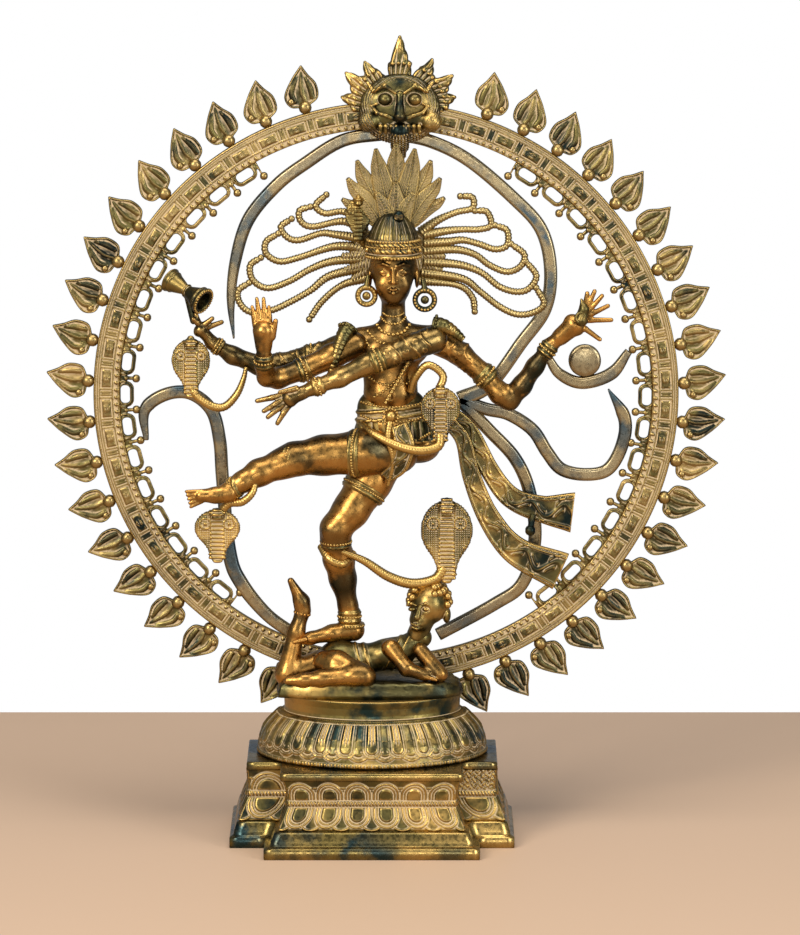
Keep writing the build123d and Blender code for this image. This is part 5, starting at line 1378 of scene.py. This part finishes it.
def make_mask():
    x0, _, z0 = ring_at(RING_RADIUS, 90 - 2.7)
    front = 23.5
    clay = Clay((x0 - 50, 20, z0 - 18), (x0 + 48, 36, z0 + 54), 0.6)
    spikes = ((-43, 4), (-40, 22), (-26, 30), (0, 49), (24, 32), (39, 20), (41, 4))
    for sx, sz in spikes:
        root = np.array((x0 + 0.35 * sx, 28, z0 - 2))
        tip = np.array((x0 + sx, 28, z0 + sz))
        middle = root + (tip - root) * 0.55
        clay.add(rod(root, middle, 6, 8.2), rod(middle, tip, 8.2, 1.4), blend=1)
    clay.values = np.maximum(clay.values,
        np.abs(clay.low[1] + clay.step * np.arange(clay.values.shape[1]) - 28)[None, :, None] - 3.5)

    def leaves(x, y, z):
        turn = np.arctan2(z - z0 + 4, x - x0)
        reach = np.hypot(x - x0, z - z0 + 4)
        return 0.9 * np.abs(np.sin(turn * 26 + reach * 0.12)) * (y < 27) + 0.8 * ridge(reach, 34,
            1.5) * (y < 27)

    piece("mask_crown", carve(clay.mesh(), leaves), RELIEF, "mask_crown")

    clay = Clay((x0 - 36, front - 22, z0 - 46), (x0 + 36, front + 2, z0 + 26), 0.7)
    clay.add(blob((x0, front, z0 - 4), (30, 11, 26)))
    for side in (-1, 1):
        clay.add(blob((x0 + side * 23, front - 6, z0 - 13), (8, 6.5, 8)), blend=3)
        clay.cut(blob((x0 + side * 11, front - 13, z0 + 4), (7.5, 5, 6)), blend=1.5)
        clay.add(blob((x0 + side * 11, front - 10.5, z0 + 4), (5.4, 5, 4.8)), blend=0.4)
        clay.add(*chain(((x0 + side * 3.5, front - 13.5, z0 + 9), 1.2),
            ((x0 + side * 11, front - 12.5, z0 + 14), 1.9),
                        ((x0 + side * 20, front - 9, z0 + 10),
                            1.4), ((x0 + side * 24, front - 7, z0 + 16), 1.0)), blend=1)
        clay.add(*chain(((x0 + side * 3, front - 14.5, z0 - 11), 1.4),
            ((x0 + side * 10, front - 13.5, z0 - 8), 1.6),
                        ((x0 + side * 17, front - 12, z0 - 6),
                            1.5), ((x0 + side * 21, front - 10.5, z0 - 1), 1.2),
                        ((x0 + side * 17, front - 12, z0 + 1), 0.9)), blend=0.8)
        for step in range(4):
            clay.add(rod((x0 + side * (2.4 + 4 * step), front - 12.5 + 0.5 * step, z0 - 16),
                (x0 + side * (2.4 + 4 * step), front - 12 + 0.5 * step, z0 - 20.5), 1.9, 1.5), blend=0.3)
    clay.add(*chain(((x0, front - 11, z0 + 8), 2.4), ((x0, front - 14, z0 - 2), 3.0),
        ((x0, front - 15.5, z0 - 8), 4.6)), blend=2)
    clay.add(*chain(((x0, front - 7, z0 - 20), 8.2), ((x0, front - 5, z0 - 30), 6.4),
        ((x0, front - 3, z0 - 38), 4.0)), blend=1)
    beard = lambda x, y, z: (
        0.7 * np.abs(np.sin((x - x0) * 1.4)) * (z < z0 - 22)
        + 0.5 * np.abs(np.sin(np.hypot(x - x0, (z - z0) * 1.1) * 1.7))
        * (np.hypot(x - x0, z - z0 + 4) > 22))
    piece("mask_face", carve(clay.mesh(), beard), RELIEF, "mask_face")


def make_foot():
    low, high = box_mm("ring_foot")
    clay = Clay(low - 2, high + 2, 0.7)
    middle = (low + high) / 2
    clay.add(rod((low[0] + 3, middle[1], low[2] + 3.2), (high[0] - 3, middle[1], low[2] + 3.2), 3.6, 3.6))
    piece("ring_foot", clay.mesh(), RELIEF, "ring_foot")


# ---- materials -----------------------------------------------------------------------------------


def new_node(tree, kind, **settings):
    node = tree.nodes.new(kind)
    for name, value in settings.items():
        if name.startswith("in_"):
            key = name[3:]
            node.inputs[int(key) if key.isdigit() else key].default_value = value
        else:
            setattr(node, name, value)
    return node


def stepped(tree, source, low, high, out_low=0.0, out_high=1.0):
    """Smooth step of a value between low and high."""
    node = new_node(tree, "ShaderNodeMapRange", interpolation_type="SMOOTHSTEP", in_1=low, in_2=high,
        in_3=out_low, in_4=out_high)
    tree.links.new(source, node.inputs[0])
    return node.outputs[0]


def maths(tree, kind, a, b):
    node = new_node(tree, "ShaderNodeMath", operation=kind,
        use_clamp=kind in ("ADD", "MULTIPLY", "SUBTRACT"))
    for slot, value in enumerate((a, b)):
        if isinstance(value, (int, float)):
            node.inputs[slot].default_value = value
        else:
            tree.links.new(value, node.inputs[slot])
    return node.outputs[0]


def blended(tree, factor, a, b):
    """Colour or value mix; a and b are sockets or colours."""
    node = new_node(tree, "ShaderNodeMix", data_type="RGBA")
    tree.links.new(factor, node.inputs[0])
    for slot, value in ((6, a), (7, b)):
        if isinstance(value, tuple):
            node.inputs[slot].default_value = value + (1.0,)
        else:
            tree.links.new(value, node.inputs[slot])
    return node.outputs[2]


def noise(tree, place, scale, detail=3.0, rough=0.55):
    node = new_node(tree, "ShaderNodeTexNoise", in_Scale=scale, in_Detail=detail, in_Roughness=rough)
    tree.links.new(place, node.inputs["Vector"])
    return node.outputs[0]


CREAM = (0.46, 0.33, 0.175)
GOLD = (0.42, 0.26, 0.075)
OLIVE = (0.115, 0.092, 0.030)
DARK = (0.010, 0.016, 0.014)


def antique(name, raised, flat, dark, wash=(0.05, 0.20), patina=(0.42, 0.60), rough=0.34, wide_wash=0.5,
    lift=(0.02, 0.2)):
    """Aged cast brass: a painted highlight in the bright raised colour on ridges and edges, dark patina in
    between, cream wash left in the hollows.
    """
    look = bpy.data.materials.new(name)
    look.use_nodes = True
    tree = look.node_tree
    shader = tree.nodes["Principled BSDF"]
    place = new_node(tree, "ShaderNodeTexCoord").outputs["Object"]
    fine = new_node(tree, "ShaderNodeAttribute", attribute_name="hollow").outputs["Fac"]
    wide = new_node(tree, "ShaderNodeAttribute", attribute_name="hollow_wide").outputs["Fac"]
    blotch = noise(tree, place, 42.0, 4.0)
    speck = noise(tree, place, 420.0, 3.0)
    broad = noise(tree, place, 14.0, 2.0)
    low = maths(tree, "ADD", stepped(tree, fine, *wash), stepped(tree, wide, 0.25, 1.2, 0.0, wide_wash))
    cream = maths(tree, "MULTIPLY", low, stepped(tree, speck, 0.30, 0.52, 0.45, 1.0))
    # painted highlight: places standing above their smoothed surroundings, over the lift range, take the
    # bright raised colour
    outward_height = new_node(tree, "ShaderNodeMath", operation="MULTIPLY", in_1=-1.0)
    tree.links.new(fine, outward_height.inputs[0])
    high = stepped(tree, outward_height.outputs[0], *lift)
    aged = stepped(tree, blotch, *patina)
    body = blended(tree, aged, flat, dark)
    tint = blended(tree, stepped(tree, broad, 0.38, 0.62), body, blended(tree, aged, raised, flat))
    # the painted highlight on ridges and edges is laid over the patina tint here
    metal = blended(tree, high, tint, raised)
    tree.links.new(blended(tree, cream, metal, CREAM), shader.inputs["Base Color"])
    tree.links.new(stepped(tree, cream, 0.0, 0.7, 1.0, 0.0), shader.inputs["Metallic"])
    shine = stepped(tree, speck, 0.3, 0.7, rough - 0.07, rough + 0.12)
    tree.links.new(maths(tree, "ADD", shine, maths(tree, "MULTIPLY", cream, 0.5)),
        shader.inputs["Roughness"])
    bump = new_node(tree, "ShaderNodeBump", in_Strength=0.10, in_Distance=0.0003)
    tree.links.new(noise(tree, place, 700.0, 2.0), bump.inputs["Height"])
    tree.links.new(bump.outputs[0], shader.inputs["Normal"])
    return look


# each look's raised colour is brass tone in the noise tint and, on ridges and edges over the lift range, a
# painted highlight
BRIGHT = (0.40, 0.20, 0.048)
RELIEF = antique("antique_relief", GOLD, OLIVE, DARK, wide_wash=0.65, patina=(0.36, 0.56),
    lift=(0.07, 0.32))
RING_LOOK = antique("ring_relief", (0.29, 0.195, 0.07), OLIVE, DARK, wide_wash=0.75, patina=(0.40, 0.58),
    lift=(0.09, 0.34))
POLISHED = antique("polished_mouldings", (0.36, 0.23, 0.07), (0.16, 0.115, 0.035), (0.02, 0.035, 0.034),
    rough=0.27,
                   lift=(0.03, 0.22), wide_wash=0.15)
DRUM_LOOK = antique("lotus_relief", GOLD, (0.15, 0.115, 0.035), (0.016, 0.03, 0.026), wide_wash=0.45,
    lift=(0.05, 0.3))
BAR_LOOK = antique("satin_bars", (0.30, 0.235, 0.13), (0.26, 0.19, 0.095), (0.05, 0.075, 0.085),
    rough=0.30, patina=(0.40, 0.58),
                   wide_wash=0.0, wash=(0.3, 0.6))
SKIN = antique("polished_skin", BRIGHT, (0.26, 0.135, 0.034), (0.022, 0.024, 0.014), wash=(0.22, 0.50),
    patina=(0.44, 0.56),
               rough=0.31, wide_wash=0.12, lift=(0.06, 0.4))
DARK_SKIN = antique("patinated_sleeve", (0.30, 0.18, 0.055), (0.09, 0.062, 0.022), (0.010, 0.013, 0.009),
    wash=(0.06, 0.26),
                    rough=0.30, wide_wash=0.3)
PLUME_LOOK = antique("plumes", (0.36, 0.25, 0.09), (0.10, 0.08, 0.03), (0.012, 0.018, 0.014),
    wash=(0.12, 0.34), wide_wash=0.4)
HAIR_LOOK = antique("ribbed_hair", (0.30, 0.215, 0.085), (0.10, 0.08, 0.032), (0.012, 0.014, 0.011),
    wash=(0.05, 0.2), wide_wash=0.35)


# ---- stage, light and camera ---------------------------------------------------------------------


def plain_material(name, colour, rough):
    look = bpy.data.materials.new(name)
    look.use_nodes = True
    shader = look.node_tree.nodes["Principled BSDF"]
    shader.inputs["Base Color"].default_value = colour + (1.0,)
    shader.inputs["Roughness"].default_value = rough
    return look


def area_light(name, place, target, size, power, colour=(1, 1, 1)):
    light = bpy.data.lights.new(name, "AREA")
    light.shape = "RECTANGLE"
    light.size, light.size_y = size
    light.energy = power
    light.color = colour
    obj = bpy.data.objects.new(name, light)
    bpy.context.scene.collection.objects.link(obj)
    obj.location = place
    obj.rotation_euler = (Vector(target) - Vector(place)).to_track_quat("-Z", "Y").to_euler()


def make_stage():
    mesh = bpy.data.meshes.new("floor")
    back, front, side = 0.442, -1.3, 1.4
    mesh.from_pydata([(-side, front, 0), (side, front, 0), (side, back, 0), (-side, back, 0)], [],
        [(0, 1, 2, 3)])
    floor = bpy.data.objects.new("floor", mesh)
    bpy.context.scene.collection.objects.link(floor)
    mesh.materials.append(plain_material("pale_floor", (0.50, 0.335, 0.215), 0.6))
    world = bpy.data.worlds.new("studio")
    bpy.context.scene.world = world
    world.use_nodes = True
    tree = world.node_tree
    sky = tree.nodes["Background"]
    sky.inputs["Color"].default_value = (0.80, 0.88, 1.0, 1)
    sky.inputs["Strength"].default_value = 0.38
    white = new_node(tree, "ShaderNodeBackground", in_Color=(1, 1, 1, 1), in_Strength=1.0)
    seen = new_node(tree, "ShaderNodeLightPath").outputs["Is Camera Ray"]
    mix = new_node(tree, "ShaderNodeMixShader")
    tree.links.new(seen, mix.inputs[0])
    tree.links.new(sky.outputs[0], mix.inputs[1])
    tree.links.new(white.outputs[0], mix.inputs[2])
    tree.links.new(mix.outputs[0], tree.nodes["World Output"].inputs["Surface"])
    centre = (0.02, 0, 0.3)
    area_light("key", (-1.3, -2.0, 1.5), centre, (0.9, 1.4), 62, (1.0, 0.97, 0.92))
    area_light("fill", (1.7, -1.6, 0.9), centre, (0.7, 1.4), 34, (0.92, 0.96, 1.0))
    area_light("top", (0.1, -0.5, 2.2), centre, (1.6, 1.0), 30)
    area_light("front", (0.1, -3.4, 0.5), centre, (1.2, 0.5), 16)


def make_camera():
    camera = bpy.data.objects.new("camera", bpy.data.cameras.new("camera"))
    bpy.context.scene.collection.objects.link(camera)
    target, distance, pitch = Vector((0.021, 0, 0.280)), 4.5, radians(9.5)
    camera.location = target + Vector((0, -distance * cos(pitch), distance * sin(pitch)))
    camera.rotation_euler = (target - camera.location).to_track_quat("-Z", "Y").to_euler()
    camera.data.sensor_width = 36.0
    camera.data.sensor_fit = "VERTICAL"
    camera.data.sensor_height = 36.0
    camera.data.lens = 6000 / 935 * 36.0
    camera.data.clip_end = 50
    bpy.context.scene.camera = camera
    bpy.context.scene.view_settings.view_transform = "Standard"
    bpy.context.scene.view_settings.look = "None"


make_stage()
make_camera()
make_plinth()
make_drum()
make_band()
make_lattice("ring_lattice_left", *LATTICE_LEFT)
make_lattice("ring_lattice_right", *LATTICE_RIGHT)
make_flames("flames_left", 105.6, 249.4, 19, -1)
make_flames("flames_right", -73.8, 70.3, 20, 1)
make_mask()
make_foot()
make_bars()
make_ground()
make_dwarf()
TORSO = make_torso()
make_legs()
make_head()
make_crown()
make_crest()
make_hair("hair_left", HAIR_LEFT, -1)
make_hair("hair_right", HAIR_RIGHT, 1)
make_arms()
make_damaru()
make_hand_flame()
make_dress(TORSO)
make_snakes()
make_sashes()
steel = plain_material("plain_steel", (0.42, 0.42, 0.43), 0.35)
steel.node_tree.nodes["Principled BSDF"].inputs["Metallic"].default_value = 1.0
for name in ("studs", "stud_washers", "stud_nuts", "drum_bolts", "drum_nuts"):
    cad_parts[name].data.materials.clear()
    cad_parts[name].data.materials.append(steel)
